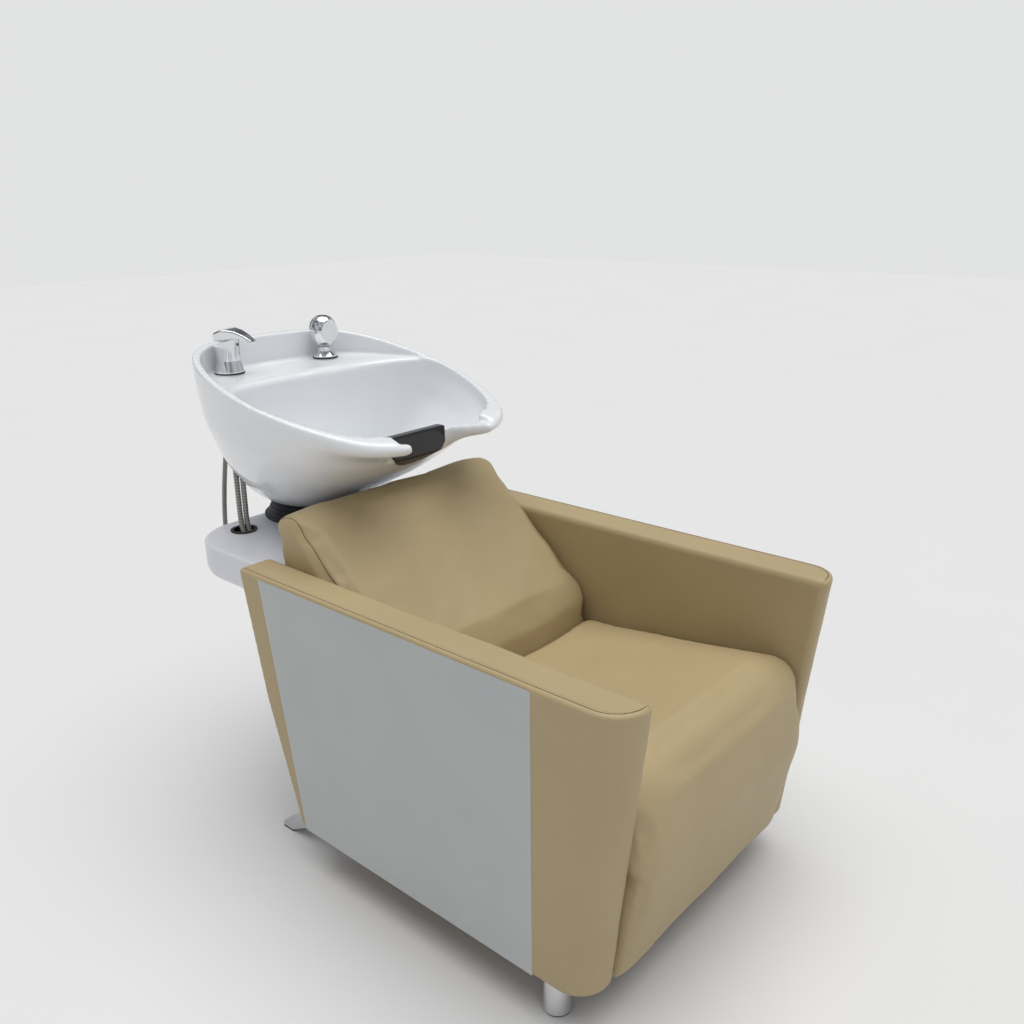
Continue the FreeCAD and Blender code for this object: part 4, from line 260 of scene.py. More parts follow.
def rubber(name, colour, roughness):
    """Moulded rubber with a faint bloom."""
    finish = Finish(name)
    where = finish.place()
    bloom = finish.noise(where, 22.0, 4.0, 0.6)
    skin = finish.noise(where, 1400.0, 2.0)
    tone = finish.colours(bloom, shade(colour, 0.8), shade(colour, 1.5))
    return finish.surface(Base_Color=tone, Roughness=finish.spread(bloom, roughness * 0.8, roughness * 1.25),
                          Normal=finish.bump(skin, 0.05, 0.0003))


def painted(name, colour):
    """Powder-coated steel with an orange-peel skin."""
    finish = Finish(name)
    where = finish.place()
    peel = finish.noise(where, 420.0, 2.0)
    dust = finish.noise(where, 15.0, 5.0, 0.7)
    tone = finish.colours(finish.steps(dust, 0.5, 0.8) * 0.5, colour, shade(colour, 1.7))
    return finish.surface(Base_Color=tone, Roughness=finish.spread(dust, 0.38, 0.6),
                          Normal=finish.bump(peel, 0.25, 0.0004))


def plywood(name, colour):
    """Birch plywood: long grain with rings and dark glue lines between plies."""
    finish = Finish(name)
    long_grain = finish.noise(finish.place((9, 1, 9)), 14.0, 6.0, 0.6)
    fibres = finish.noise(finish.place((1, 0.03, 1)), 700.0, 2.0)
    plies = (finish.node("ShaderNodeSeparateXYZ", {}, finish.place(), out="Z") * 2100.0).sine()
    tone = finish.colours(long_grain, shade(colour, 0.78), shade(colour, 1.08))
    tone = finish.colours(finish.steps(plies, 0.8, 1.0) * 0.3, tone, shade(colour, 0.5))
    return finish.surface(Base_Color=tone, Roughness=finish.spread(long_grain, 0.6, 0.8),
                          Normal=finish.bump(fibres, 0.15, 0.0004))


def braid(name, light, dark, strands, pitch, metallic):
    """Hose braid on the tube's own map: two families of strands wound in opposite directions, with painted
    shade between the strands.
    """
    finish = Finish(name)
    where = finish.node("ShaderNodeUVMap", {"uv_map": "UVMap"})
    around = finish.node("ShaderNodeSeparateXYZ", {}, where, out="X") * (2 * math.pi * strands)
    along = finish.node("ShaderNodeSeparateXYZ", {}, where, out="Y") * (2 * math.pi / pitch)
    over = (around + along).sine()
    under = (around - along).sine()
    weave = finish.steps(over * under, -0.7, 0.8)
    wear = finish.noise(finish.place(), 60.0, 4.0, 0.6)
    # Painted shade: the dark colour fills the low places of the weave between the strands, where the bump
    # sinks.
    tone = finish.colours(weave * finish.spread(wear, 0.7, 1.0), dark, light)
    return finish.surface(Base_Color=tone, Metallic=metallic, Roughness=finish.spread(wear, 0.3, 0.5),
                          Normal=finish.bump(weave, 0.5, 0.0005))


def ribbed(name, colour, pitch):
    """Corrugated plastic hose on the tube's own map, with painted shade in the troughs between the ribs."""
    finish = Finish(name)
    where = finish.node("ShaderNodeUVMap", {"uv_map": "UVMap"})
    along = finish.node("ShaderNodeSeparateXYZ", {}, where, out="Y") * (2 * math.pi / pitch)
    rings = finish.spread(along.sine(), 0.5, 1.0)
    dust = finish.noise(finish.place(), 25.0, 4.0, 0.6)
    # Painted shade: the colour runs darker in the troughs of the ribs than on their crests.
    tone = finish.colours(rings * 0.5, shade(colour, 0.6), shade(colour, 1.4))
    return finish.surface(Base_Color=tone, Roughness=finish.spread(dust, 0.35, 0.55),
                          Normal=finish.bump(rings, 0.8, 0.0015))


FINISHES = {}


def make_finishes(colours):
    """One finish per kind of surface, under the record's slot names."""
    FINISHES.update({
        "upholstery": leather("cover_leather", tuple(colours.cover)),
        "panel_grey": leather("panel_vinyl", tuple(colours.panel), 0.7),
        "timber": plywood("birch_ply", (0.66, 0.47, 0.29)),
        "ceramic": glaze("white_glaze", tuple(colours.ceramic)),
        "white_shell": moulded("white_moulding", tuple(colours.moulding), 0.32),
        "black_plastic": moulded("black_moulding", (0.035, 0.035, 0.038), 0.45, 0.12),
        "index_red": moulded("index_enamel", (0.16, 0.01, 0.012), 0.2),
        "chrome": metal("polished_chrome", (0.80, 0.81, 0.83), 0.075),
        "steel": metal("brushed_steel", (0.60, 0.61, 0.62), 0.28, "y"),
        "brass": metal("plain_brass", (0.66, 0.47, 0.20), 0.25, "z"),
        "rubber": rubber("boot_rubber", (0.016, 0.016, 0.018), 0.45),
        "gloss_rubber": rubber("neck_rubber", (0.010, 0.010, 0.012), 0.17),
        "frame_paint": painted("black_powder_coat", (0.028, 0.028, 0.03)),
        # The second colour of each braided hose is the painted shade between its strands.
        "hose_braid": braid("supply_braid", (0.58, 0.56, 0.51), (0.20, 0.19, 0.17), 6, 0.012, 0.45),
        "hose_steel": braid("shower_winding", (0.60, 0.58, 0.54), (0.22, 0.21, 0.19), 1, 0.0042, 0.6),
        "waste_ribs": ribbed("waste_corrugation", (0.05, 0.05, 0.052), 0.006),
        # The seam finish is the painted shadow laid in the seams' grooves.
        "seam": rubber("seam_shadow", (0.045, 0.035, 0.022), 0.7),
        "thread": rubber("seam_thread", (0.30, 0.25, 0.16), 0.6),
        "nozzle": rubber("nozzle_rubber", (0.05, 0.05, 0.055), 0.5),
    })


# Mesh helpers


def new_piece(name, mesh, finish, body=None, smooth=True):
    """An object at the origin that rides on a body."""
    piece = bpy.data.objects.new(name, mesh)
    bpy.context.scene.collection.objects.link(piece)
    dress(piece, finish)
    if smooth:
        mesh.polygons.foreach_set("use_smooth", [True] * len(mesh.polygons))
    if body is not None:
        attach(piece, body)
    return piece


def dress(piece, finish):
    """Gives a piece or a CAD node one finish."""
    piece.data.materials.clear()
    piece.data.materials.append(FINISHES[finish])


def mesh_of(name, points, faces):
    mesh = bpy.data.meshes.new(name)
    mesh.from_pydata([tuple(point) for point in points], [], faces)
    mesh.validate()
    return mesh


def node_copy(node, name):
    """A bmesh of a CAD node with its loose triangles merged."""
    shape = bmesh.new()
    shape.from_mesh(FRAME["nodes"][node].data)
    bmesh.ops.remove_doubles(shape, verts=shape.verts, dist=1e-5)
    return shape


def islands(shape):
    """The connected groups of a bmesh's vertices, largest box first."""
    left = set(shape.verts)
    groups = []
    while left:
        stack = [left.pop()]
        group = list(stack)
        while stack:
            for edge in stack.pop().link_edges:
                for vert in edge.verts:
                    if vert in left:
                        left.discard(vert)
                        stack.append(vert)
                        group.append(vert)
        groups.append(group)

    def spread(group):
        return sum(max(v.co[i] for v in group) - min(v.co[i] for v in group) for i in range(3))

    return sorted(groups, key=spread, reverse=True)


def finished(shape, name):
    mesh = bpy.data.meshes.new(name)
    shape.to_mesh(mesh)
    shape.free()
    return mesh


def baked(piece):
    """The piece's mesh with its modifiers applied."""
    bpy.context.view_layer.update()
    graph = bpy.context.evaluated_depsgraph_get()
    mesh = bpy.data.meshes.new_from_object(piece.evaluated_get(graph))
    old = piece.data
    piece.modifiers.clear()
    piece.data = mesh
    bpy.data.meshes.remove(old)
    return mesh


def remeshed(mesh, name, voxel):
    """A closed even skin round a mesh, as a loose object without a body."""
    piece = bpy.data.objects.new(name, mesh)
    bpy.context.scene.collection.objects.link(piece)
    skin = piece.modifiers.new("Skin", "REMESH")
    skin.mode = "VOXEL"
    skin.voxel_size = voxel
    skin.use_smooth_shade = True
    baked(piece)
    return piece


def places_of(mesh):
    """The mesh's points as an array."""
    flat = np.empty(len(mesh.vertices) * 3)
    mesh.vertices.foreach_get("co", flat)
    return flat.reshape(-1, 3)


def normals_of(mesh):
    """The mesh's point normals as an array."""
    flat = np.empty(len(mesh.vertices) * 3)
    mesh.vertex_normals.foreach_get("vector", flat)
    return flat.reshape(-1, 3)


def set_places(mesh, places):
    mesh.vertices.foreach_set("co", places.ravel())
    mesh.update()


def relax(mesh, rounds, strength, weight=None):
    """Smooths a mesh, each point by strength times its weight, given as an array."""
    ends = np.empty(len(mesh.edges) * 2, dtype=np.int64)
    mesh.edges.foreach_get("vertices", ends)
    first, second = ends[0::2], ends[1::2]
    places = places_of(mesh)
    count = len(places)
    ties = np.bincount(first, minlength=count) + np.bincount(second, minlength=count)
    share = (strength * (np.ones(count) if weight is None else weight))[:, None]
    for _ in range(rounds):
        total = np.empty_like(places)
        for axis in range(3):
            column = places[:, axis]
            total[:, axis] = (np.bincount(first, weights=column[second], minlength=count)
                              + np.bincount(second, weights=column[first], minlength=count))
        places += (total / np.maximum(ties, 1)[:, None] - places) * share
    set_places(mesh, places)


def smoothed(mesh, rounds, weight=None):
    """Smooths a mesh without shrinking it: each round draws the points in and lets them out again."""
    for _ in range(rounds):
        relax(mesh, 1, 0.5, weight)
        relax(mesh, 1, -0.52, weight)


def lathe(name, profile, middle, sides):
    """Turns a closed loop of (radius, height) pairs in millimetres round a vertical axis at middle."""
    points = []
    for radius, height in profile:
        for i in range(sides):
            turn = 2 * math.pi * i / sides
            points.append(Vector((middle[0] + radius * math.cos(turn), middle[1] + radius * math.sin(turn),
                                  middle[2] + height)) * MM)
    rows = len(profile)
    faces = []
    for row in range(rows):
        here, above = row * sides, (row + 1) % rows * sides
        for i in range(sides):
            j = (i + 1) % sides
            faces.append((here + i, here + j, above + j, above + i))
    mesh = mesh_of(name, points, faces)
    shape = bmesh.new()
    shape.from_mesh(mesh)
    bmesh.ops.remove_doubles(shape, verts=shape.verts, dist=1e-6)
    bmesh.ops.dissolve_degenerate(shape, dist=1e-7, edges=shape.edges)
    bmesh.ops.recalc_face_normals(shape, faces=shape.faces)
    shape.to_mesh(mesh)
    shape.free()
    return mesh


def along_route(route, steps=6):
    """Points of the route's smooth spline, in metres."""
    curve = bpy.data.curves.new("route", "CURVE")
    curve.dimensions = "3D"
    curve.resolution_u = steps
    spline = curve.splines.new("NURBS")
    spline.points.add(len(route) - 1)
    for point, place in zip(spline.points, route):
        point.co = (*(value * MM for value in place), 1)
    spline.order_u = 3
    spline.use_endpoint_u = True
    thing = bpy.data.objects.new("route", curve)
    mesh = bpy.data.meshes.new_from_object(thing)
    points = [vert.co.copy() for vert in mesh.vertices]
    bpy.data.objects.remove(thing)
    bpy.data.curves.remove(curve)
    bpy.data.meshes.remove(mesh)
    return points


def tube(name, points, radius, sides=16):
    """A tube along points in metres, with a map of turns by metres."""
    count = len(points)
    tangents = []
    for i in range(count):
        tangents.append((points[min(i + 1, count - 1)] - points[max(i - 1, 0)]).normalized())
    side = tangents[0].orthogonal().normalized()
    rings = []
    far = [0.0]
    for i in range(count):
        if i > 0:
            side = (tangents[i - 1].rotation_difference(tangents[i]) @ side).normalized()
            far.append(far[-1] + (points[i] - points[i - 1]).length)
        other = tangents[i].cross(side)
        rings.append([points[i] + (side * math.cos(turn) + other * math.sin(turn)) * radius
                      for turn in (2 * math.pi * k / sides for k in range(sides))])
    shape = bmesh.new()
    layer = shape.loops.layers.uv.new("UVMap")
    verts = [[shape.verts.new(place) for place in ring] for ring in rings]
    for i in range(count - 1):
        for k in range(sides):
            j = (k + 1) % sides
            face = shape.faces.new((verts[i][k], verts[i][j], verts[i + 1][j], verts[i + 1][k]))
            for loop, place in zip(face.loops, ((k, i), (k + 1, i), (k + 1, i + 1), (k, i + 1))):
                loop[layer].uv = (place[0] / sides, far[place[1]])
    for end in (verts[0], verts[-1]):
        shape.faces.new(end)
    bmesh.ops.recalc_face_normals(shape, faces=shape.faces)
    return finished(shape, name)


def skin_tree(piece):
    """A search tree of a piece's faces."""
    return BVHTree.FromPolygons([vert.co.copy() for vert in piece.data.vertices],
                                [tuple(face.vertices) for face in piece.data.polygons])


def laid_on(tree, points, sink=0.0):
    """Points moved to the nearest place on a skin, sunk below it."""
    laid = []
    for point in points:
        place, normal, _, _ = tree.find_nearest(point)
        laid.append(place - normal * sink)
    return laid


def evenly(points, gap):
    """Points at even gaps along a line."""
    line = [points[0].copy()]
    left = gap
    for before, after in zip(points, points[1:]):
        run = (after - before).length
        used = 0.0
        while run - used > left:
            used += left
            line.append(before.lerp(after, used / run))
            left = gap
        left -= run - used
    return line


def pressed_line(mesh, line, depth, width):
    """Presses a soft groove along a line into a mesh, along its normals."""
    dots = evenly(line, width / 2)
    tree = KDTree(len(dots))
    for i, place in enumerate(dots):
        tree.insert(place, i)
    tree.balance()
    places, normals = places_of(mesh), normals_of(mesh)
    gaps = np.array([tree.find(place)[2] for place in places])
    set_places(mesh, places - normals * (depth * np.exp(-(gaps / width) ** 2))[:, None])


# Geometry Nodes


def stitch_tree():
    """Node tree that lays short stitches along a line of points."""
    tree = bpy.data.node_groups.new("Stitches", "GeometryNodeTree")
    face = tree.interface
    face.new_socket("Geometry", in_out="INPUT", socket_type="NodeSocketGeometry")
    for name in ("Spacing", "Length", "Thickness"):
        face.new_socket(name, in_out="INPUT", socket_type="NodeSocketFloat")
    face.new_socket("Finish", in_out="INPUT", socket_type="NodeSocketMaterial")
    face.new_socket("Geometry", in_out="OUTPUT", socket_type="NodeSocketGeometry")
    add = tree.nodes.new
    link = tree.links.new
    source, sink = add("NodeGroupInput"), add("NodeGroupOutput")
    line = add("GeometryNodeMeshToCurve")
    spaced = add("GeometryNodeResampleCurve")
    spaced.mode = "LENGTH"
    stitch = add("GeometryNodeMeshUVSphere")
    stitch.inputs["Segments"].default_value = 8
    stitch.inputs["Rings"].default_value = 5
    shaped = add("GeometryNodeTransform")
    scale = add("ShaderNodeCombineXYZ")
    laid = add("GeometryNodeInstanceOnPoints")
    tangent = add("GeometryNodeInputTangent")
    align = add("FunctionNodeAlignRotationToVector")
    align.axis = "Z"
    real = add("GeometryNodeRealizeInstances")
    paint = add("GeometryNodeSetMaterial")
    link(source.outputs["Geometry"], line.inputs["Mesh"])
    link(line.outputs["Curve"], spaced.inputs["Curve"])
    link(source.outputs["Spacing"], spaced.inputs["Length"])
    link(source.outputs["Thickness"], scale.inputs["X"])
    link(source.outputs["Thickness"], scale.inputs["Y"])
    link(source.outputs["Length"], scale.inputs["Z"])
    link(stitch.outputs["Mesh"], shaped.inputs["Geometry"])
    link(scale.outputs["Vector"], shaped.inputs["Scale"])
    link(tangent.outputs["Tangent"], align.inputs["Vector"])
    link(spaced.outputs["Curve"], laid.inputs["Points"])
    link(shaped.outputs["Geometry"], laid.inputs["Instance"])
    link(align.outputs["Rotation"], laid.inputs["Rotation"])
    link(laid.outputs["Instances"], real.inputs["Geometry"])
    link(real.outputs["Geometry"], paint.inputs["Geometry"])
    link(source.outputs["Finish"], paint.inputs["Material"])
    link(paint.outputs["Geometry"], sink.inputs["Geometry"])
    return tree


def run_tree(tree, name, mesh, settings, body):
    """Runs a node tree on a mesh and keeps the result as a plain mesh on a body."""
    piece = bpy.data.objects.new(name, mesh)
    bpy.context.scene.collection.objects.link(piece)
    modifier = piece.modifiers.new("Nodes", "NODES")
    modifier.node_group = tree
    names = {item.name: item.identifier for item in tree.interface.items_tree if item.in_out == "INPUT"}
    for key, value in settings.items():
        modifier[names[key]] = value
    made = baked(piece)
    made.polygons.foreach_set("use_smooth", [True] * len(made.polygons))
    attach(piece, body)
    return piece


def stitched(name, line, finish, body, spacing=0.0062, length=0.0021, thickness=0.00042):
    """A row of stitches along a line."""
    mesh = bpy.data.meshes.new(name)
    mesh.from_pydata([tuple(point) for point in line], [(i, i + 1) for i in range(len(line) - 1)], [])
    if "Stitches" not in bpy.data.node_groups:
        stitch_tree()
    settings = {"Spacing": spacing, "Length": length, "Thickness": thickness, "Finish": FINISHES[finish]}
    return run_tree(bpy.data.node_groups["Stitches"], name, mesh, settings, body)


# Settings


class WashBedColours(bpy.types.PropertyGroup):
    """Colours of the main surfaces."""

    cover: FloatVectorProperty(name="Cover", description="Coated fabric of the cushions and arms",
                               subtype="COLOR", size=3, min=0, max=1, default=(0.455, 0.358, 0.198))
    panel: FloatVectorProperty(name="Side panels", description="Vinyl of the flat outer side panels",
                               subtype="COLOR", size=3, min=0, max=1, default=(0.51, 0.53, 0.525))
    ceramic: FloatVectorProperty(name="Ceramic", description="Glaze of the bowl", subtype="COLOR",
                                 size=3, min=0, max=1, default=(0.87, 0.89, 0.915))
    moulding: FloatVectorProperty(name="Platform", description="Moulded service platform",
                                  subtype="COLOR", size=3, min=0, max=1, default=(0.76, 0.77, 0.82))


class WashBedSizes(bpy.types.PropertyGroup):
    """Sizes that a user would change."""

    arm_grid: FloatProperty(name="Arm grid", description="Grid of the arms' skin", unit="LENGTH", min=0.003,
                            max=0.02, default=0.0045)
    voxel: FloatProperty(name="Cushion grid", description="Grid of the cushions' skin", unit="LENGTH",
                         min=0.003, max=0.02, default=0.0055)
    puff: FloatProperty(name="Puff", description="Farthest that a cushion's skin swells", unit="LENGTH",
                        min=0, max=0.03, default=0.006)
    stuffing: FloatProperty(name="Pressure", description="Pressure of the stuffing", min=0, max=20,
                            default=4)
    glaze_grid: FloatProperty(name="Bowl grid", description="Grid of the bowl's skin", unit="LENGTH",
                              min=0.002, max=0.01, default=0.0038)
    supply_hose: FloatProperty(name="Supply hose", description="Diameter of a supply hose", unit="LENGTH",
                               min=0.006, max=0.02, default=0.011)
    shower_hose: FloatProperty(name="Shower hose", description="Diameter of the shower hose", unit="LENGTH",
                               min=0.006, max=0.02, default=0.010)
    waste_hose: FloatProperty(name="Waste hose", description="Diameter of the waste hose", unit="LENGTH",
                              min=0.02, max=0.06, default=0.040)
    boot_folds: IntProperty(name="Boot folds", description="Folds of the rubber boot under the bowl",
                            min=1, max=8, default=3)


# Pieces


def colours_of(context):
    return context.scene.wash_bed_colours


def sizes_of(context):
    return context.scene.wash_bed_sizes


class WASHBED_OT_stage(bpy.types.Operator):
    """Camera, floor, light and finishes"""

    bl_idname = "washbed.stage"
    bl_label = "Stage"

    focal_length = 33.3005
    lens_shift = (-0.006434, 0.035672)
    yaw_pitch_roll = (49.0688, 20.7743, -0.6748)
    viewpoint = (-1.25104, -1.21778, 1.27835)
    floor_reach = 14.0
    room_strength = 0.42
    room_seen = (0.76, 0.765, 0.77, 1.0)
    lamp_energy = 2.35
    lamp_spread = 64
    lamp_aim = (-0.05, 0.04, -1.0)

    def execute(self, context):
        make_finishes(colours_of(context))
        scene = context.scene
        lens = bpy.data.cameras.new("camera")
        lens.sensor_width = 36.0
        lens.lens = self.focal_length
        lens.shift_x, lens.shift_y = self.lens_shift
        lens.clip_end = 50.0
        camera = bpy.data.objects.new("camera", lens)
        scene.collection.objects.link(camera)
        yaw, pitch, roll = (math.radians(angle) for angle in self.yaw_pitch_roll)
        right = Vector((math.cos(yaw), -math.sin(yaw), 0))
        ahead = Vector((math.sin(yaw) * math.cos(pitch), math.cos(yaw) * math.cos(pitch), -math.sin(pitch)))
        upward = right.cross(ahead)
        turned = right * math.cos(roll) + upward * math.sin(roll)
        upward = upward * math.cos(roll) - right * math.sin(roll)
        spin = Matrix((turned, upward, -ahead)).transposed()
        camera.matrix_world = Matrix.Translation(Vector(self.viewpoint)) @ spin.to_4x4()
        scene.camera = camera
        scene.view_settings.view_transform = "Standard"
        self.floor(scene)
        self.world(scene)
        self.lamps(scene)
        return {"FINISHED"}

    def floor(self, scene):
        wide = self.floor_reach
        mesh = mesh_of("floor", [(-wide, -wide, 0), (wide, -wide, 0), (wide, wide, 0), (-wide, wide, 0)],
                       [(0, 1, 2, 3)])
        finish = Finish("pale_floor")
        clouds = finish.noise(finish.place(), 1.5, 2.0)
        tone = finish.colours(clouds, (0.73, 0.735, 0.74), (0.76, 0.76, 0.76))
        FINISHES["floor"] = finish.surface(Base_Color=tone, Roughness=0.9, Specular_IOR_Level=0.1)
        new_piece("floor", mesh, "floor", smooth=False)

    def world(self, scene):
        """An even pale room, seen as plain as the floor, with darker patches for the chrome to mirror."""
        world = bpy.data.worlds.new("room")
        world.use_nodes = True
        tree = world.node_tree
        light = tree.nodes["Background"]
        light.inputs["Strength"].default_value = self.room_strength
        where = tree.nodes.new("ShaderNodeTexCoord")
        patches = tree.nodes.new("ShaderNodeTexNoise")
        patches.inputs["Scale"].default_value = 2.6
        patches.inputs["Detail"].default_value = 1.0
        shades = tree.nodes.new("ShaderNodeValToRGB")
        shades.color_ramp.elements[0].position = 0.40
        shades.color_ramp.elements[0].color = (0.28, 0.30, 0.33, 1)
        shades.color_ramp.elements[1].position = 0.56
        shades.color_ramp.elements[1].color = (1.18, 1.20, 1.24, 1)
        tree.links.new(where.outputs["Generated"], patches.inputs["Vector"])
        tree.links.new(patches.outputs["Fac"], shades.inputs["Fac"])
        tree.links.new(shades.outputs["Color"], light.inputs["Color"])
        seen = tree.nodes.new("ShaderNodeBackground")
        seen.inputs["Color"].default_value = self.room_seen
        rays = tree.nodes.new("ShaderNodeLightPath")
        both = tree.nodes.new("ShaderNodeMixShader")
        tree.links.new(rays.outputs["Is Camera Ray"], both.inputs["Fac"])
        tree.links.new(light.outputs["Background"], both.inputs[1])
        tree.links.new(seen.outputs["Background"], both.inputs[2])
        tree.links.new(both.outputs["Shader"], tree.nodes["World Output"].inputs["Surface"])
        scene.world = world

    def lamps(self, scene):
        """One wide soft lamp overhead, as strong far away as near."""
        lamp = bpy.data.lights.new("overhead", "SUN")
        lamp.energy = self.lamp_energy
        lamp.angle = math.radians(self.lamp_spread)
        lamp.color = (1.0, 0.985, 0.96)
        thing = bpy.data.objects.new("overhead", lamp)
        scene.collection.objects.link(thing)
        thing.rotation_euler = Vector(self.lamp_aim).to_track_quat("-Z", "Y").to_euler()


class WASHBED_OT_hoses(bpy.types.Operator):
    """Supply hoses, shower hose and waste hose"""

    bl_idname = "washbed.hoses"
    bl_label = "Hoses"

    def execute(self, context):
        sizes = sizes_of(context)
        for node, route, across, finish, stiffness, sides in (
                ("hot_supply_hose", HOT_ROUTE, sizes.supply_hose, "hose_braid", "stiff", 20),
                ("cold_supply_hose", COLD_ROUTE, sizes.supply_hose, "hose_braid", "stiff", 20),
                ("shower_hose", SHOWER_ROUTE, sizes.shower_hose, "hose_steel", "medium", 18),
                ("waste_hose", WASTE_ROUTE, sizes.waste_hose, "waste_ribs", "stiff", 28)):
            line = along_route(route)
            piece = new_piece(node + "_tube", tube(node + "_tube", line, across / 2, sides), finish)
            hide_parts(node)
            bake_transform(piece)
        return {"FINISHED"}


def cushion_skin(node, name, voxel, settle, tidy=None):
    """A loose skin round the largest solid of a CAD node."""
    shape = node_copy(node, name)
    groups = islands(shape)
    spare = [vert for group in groups[1:] for vert in group]
    bmesh.ops.delete(shape, geom=spare, context="VERTS")
    if tidy is not None:
        tidy(shape)
    piece = remeshed(finished(shape, name), name, voxel)
    smoothed(piece.data, settle)
    dress(piece, "upholstery")
    return piece


def inflate(piece, cap, pressure):
    """Lets the cover swell as cloth under pressure, and keeps each point within cap of where it was."""
    if cap == 0:
        return
    rest = places_of(piece.data)
    cloth = piece.modifiers.new("Cloth", "CLOTH")
    cloth.settings.use_pressure = True
    cloth.settings.uniform_pressure_force = pressure
    cloth.settings.effector_weights.gravity = 0
    cloth.settings.quality = 4
    scene = bpy.context.scene
    for frame in range(1, 13):
        scene.frame_set(frame)
    baked(piece)
    moves = places_of(piece.data) - rest
    runs = np.maximum(np.linalg.norm(moves, axis=1), 1e-9)
    set_places(piece.data, rest + moves * np.minimum(1, cap / runs)[:, None])
    scene.frame_set(1)
    relax(piece.data, 2, 0.4)


def soft_dents(mesh, depth, pitch, seed, weight=1.0):
    """Shallow waves that a stuffed cover has, the same each run."""
    places, normals = places_of(mesh), normals_of(mesh)
    offset = Vector((seed * 7.3, seed * 3.1, seed * 5.7))
    spots = [Vector(place) / pitch + offset for place in places]
    waves = np.array([noise.noise(spot) + 0.5 * noise.noise(spot * 2.3) for spot in spots])
    set_places(mesh, places + normals * (depth * weight * waves)[:, None])


def seamed(piece, line, name, body, depth=0.0011, width=0.005, radius=0.0007, stitches=True, side=None):
    """A sewn seam: a soft groove in the cover, a thin dark tube in it as the painted shadow of the groove,
    and stitches beside it.
    """
    pressed_line(piece.data, line, depth, width)
    piece.data.update()
    tree = skin_tree(piece)
    path = laid_on(tree, evenly(line, 0.006), 0.0002)
    # Painted shadow: a thin dark tube laid in the groove stands in for the seam's shade.
    new_piece(name + "_line", tube(name + "_line", path, radius, 8), "seam", body)
    if stitches and side is not None:
        beside = laid_on(tree, [point + side(point) for point in evenly(line, 0.004)], -0.0001)
        stitched(name + "_stitches", beside, "thread", body)


class WASHBED_OT_arms(bpy.types.Operator):
    """Upholstered arms with their top seams"""

    bl_idname = "washbed.arms"
    bl_label = "Arms"

    corner = 0.060
    inboard = 0.008
    panel_proud = 0.0015

    def execute(self, context):
        sizes = sizes_of(context)
        for side, sign in (("left", 1), ("right", -1)):
            node = f"{side}_arm_upholstery"
            panel_low, panel_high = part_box(f"{side}_side_panel")
            face = max(abs(panel_low.x), abs(panel_high.x))
            recess = min(abs(panel_low.x), abs(panel_high.x))

            def fill_recess(shape, face=face, recess=recess, sign=sign):
                for vert in shape.verts:
                    if abs(abs(vert.co.x) - recess) < 0.0006:
                        vert.co.x = sign * (face - self.panel_proud)

            piece = cushion_skin(node, f"{side}_arm_cover", sizes.arm_grid, 4, fill_recess)
            low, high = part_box(node)
            across = np.abs(places_of(piece.data)[:, 0])
            soft_dents(piece.data, 0.0012, 0.16, 1 + sign, np.clip((face - 0.003 - across) / 0.01, 0, 1))
            seamed(piece, self.top_seam(low, high, sign), f"{side}_arm_seam", CHAIR,
                   side=lambda point, sign=sign: Vector((-sign * 0.004, 0, 0)))
            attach(piece, CHAIR)
            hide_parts(node)
        return {"FINISHED"}

    def top_seam(self, low, high, sign):
        """The line just inside the arm's outer edge, round the front corner to the inner tip."""
        outer = max(abs(low.x), abs(high.x)) - self.inboard
        inner = min(abs(low.x), abs(high.x)) + self.inboard / 2
        turn_y = low.y + self.corner
        reach = self.corner - self.inboard
        straight = high.y - self.inboard - turn_y
        line = [Vector((sign * outer, turn_y + straight * (1 - i / 30), high.z)) for i in range(31)]
        for i in range(1, 11):
            angle = math.pi / 2 * i / 10
            line.append(Vector((sign * (outer - reach * (1 - math.cos(angle))),
                                turn_y - reach * math.sin(angle), high.z)))
        return line + [Vector((sign * inner, turn_y - reach, high.z))]


class WASHBED_OT_seat(bpy.types.Operator):
    """Seat cushion with its front apron"""

    bl_idname = "washbed.seat"
    bl_label = "Seat cushion"

    def execute(self, context):
        sizes = sizes_of(context)
        piece = cushion_skin("seat_cushion", "seat_cover", sizes.voxel, 5)
        inflate(piece, sizes.puff, sizes.stuffing)
        soft_dents(piece.data, 0.0012, 0.13, 5)
        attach(piece, CHAIR)
        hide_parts("seat_cushion")
        return {"FINISHED"}


class WASHBED_OT_back(bpy.types.Operator):
    """Reclined back cushion with its end seams"""

    bl_idname = "washbed.back"
    bl_label = "Back cushion"

    pivot = (0.15, 0.56)

    def execute(self, context):
        sizes = sizes_of(context)
        piece = cushion_skin("back_cushion", "back_cover", sizes.voxel, 5)
        inflate(piece, sizes.puff, sizes.stuffing)
        soft_dents(piece.data, 0.0022, 0.10, 9)
        tree = skin_tree(piece)
        low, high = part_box("back_cushion")
        for side, sign in (("left", 1), ("right", -1)):
            line = self.edge_line(tree, sign * (high.x - 0.004), low, high)
            seamed(piece, line, f"{side}_back_seam", CHAIR,
                   side=lambda point, sign=sign: Vector((-sign * 0.0045, 0, 0)))
        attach(piece, CHAIR)
        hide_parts("back_cushion")
        return {"FINISHED"}

    def edge_line(self, tree, x, low, high):
        """The cushion's outline near one end, from its foot up the front and over the roll."""
        pivot = Vector((x, *self.pivot))
        line = []
        for i in range(61):
            turn = math.radians(215 - 175 * i / 60)
            ahead = Vector((0, math.cos(turn), math.sin(turn)))
            place, normal, _, _ = tree.ray_cast(pivot + ahead * 0.6, -ahead)
            if place is not None:
                line.append(place)
        return line


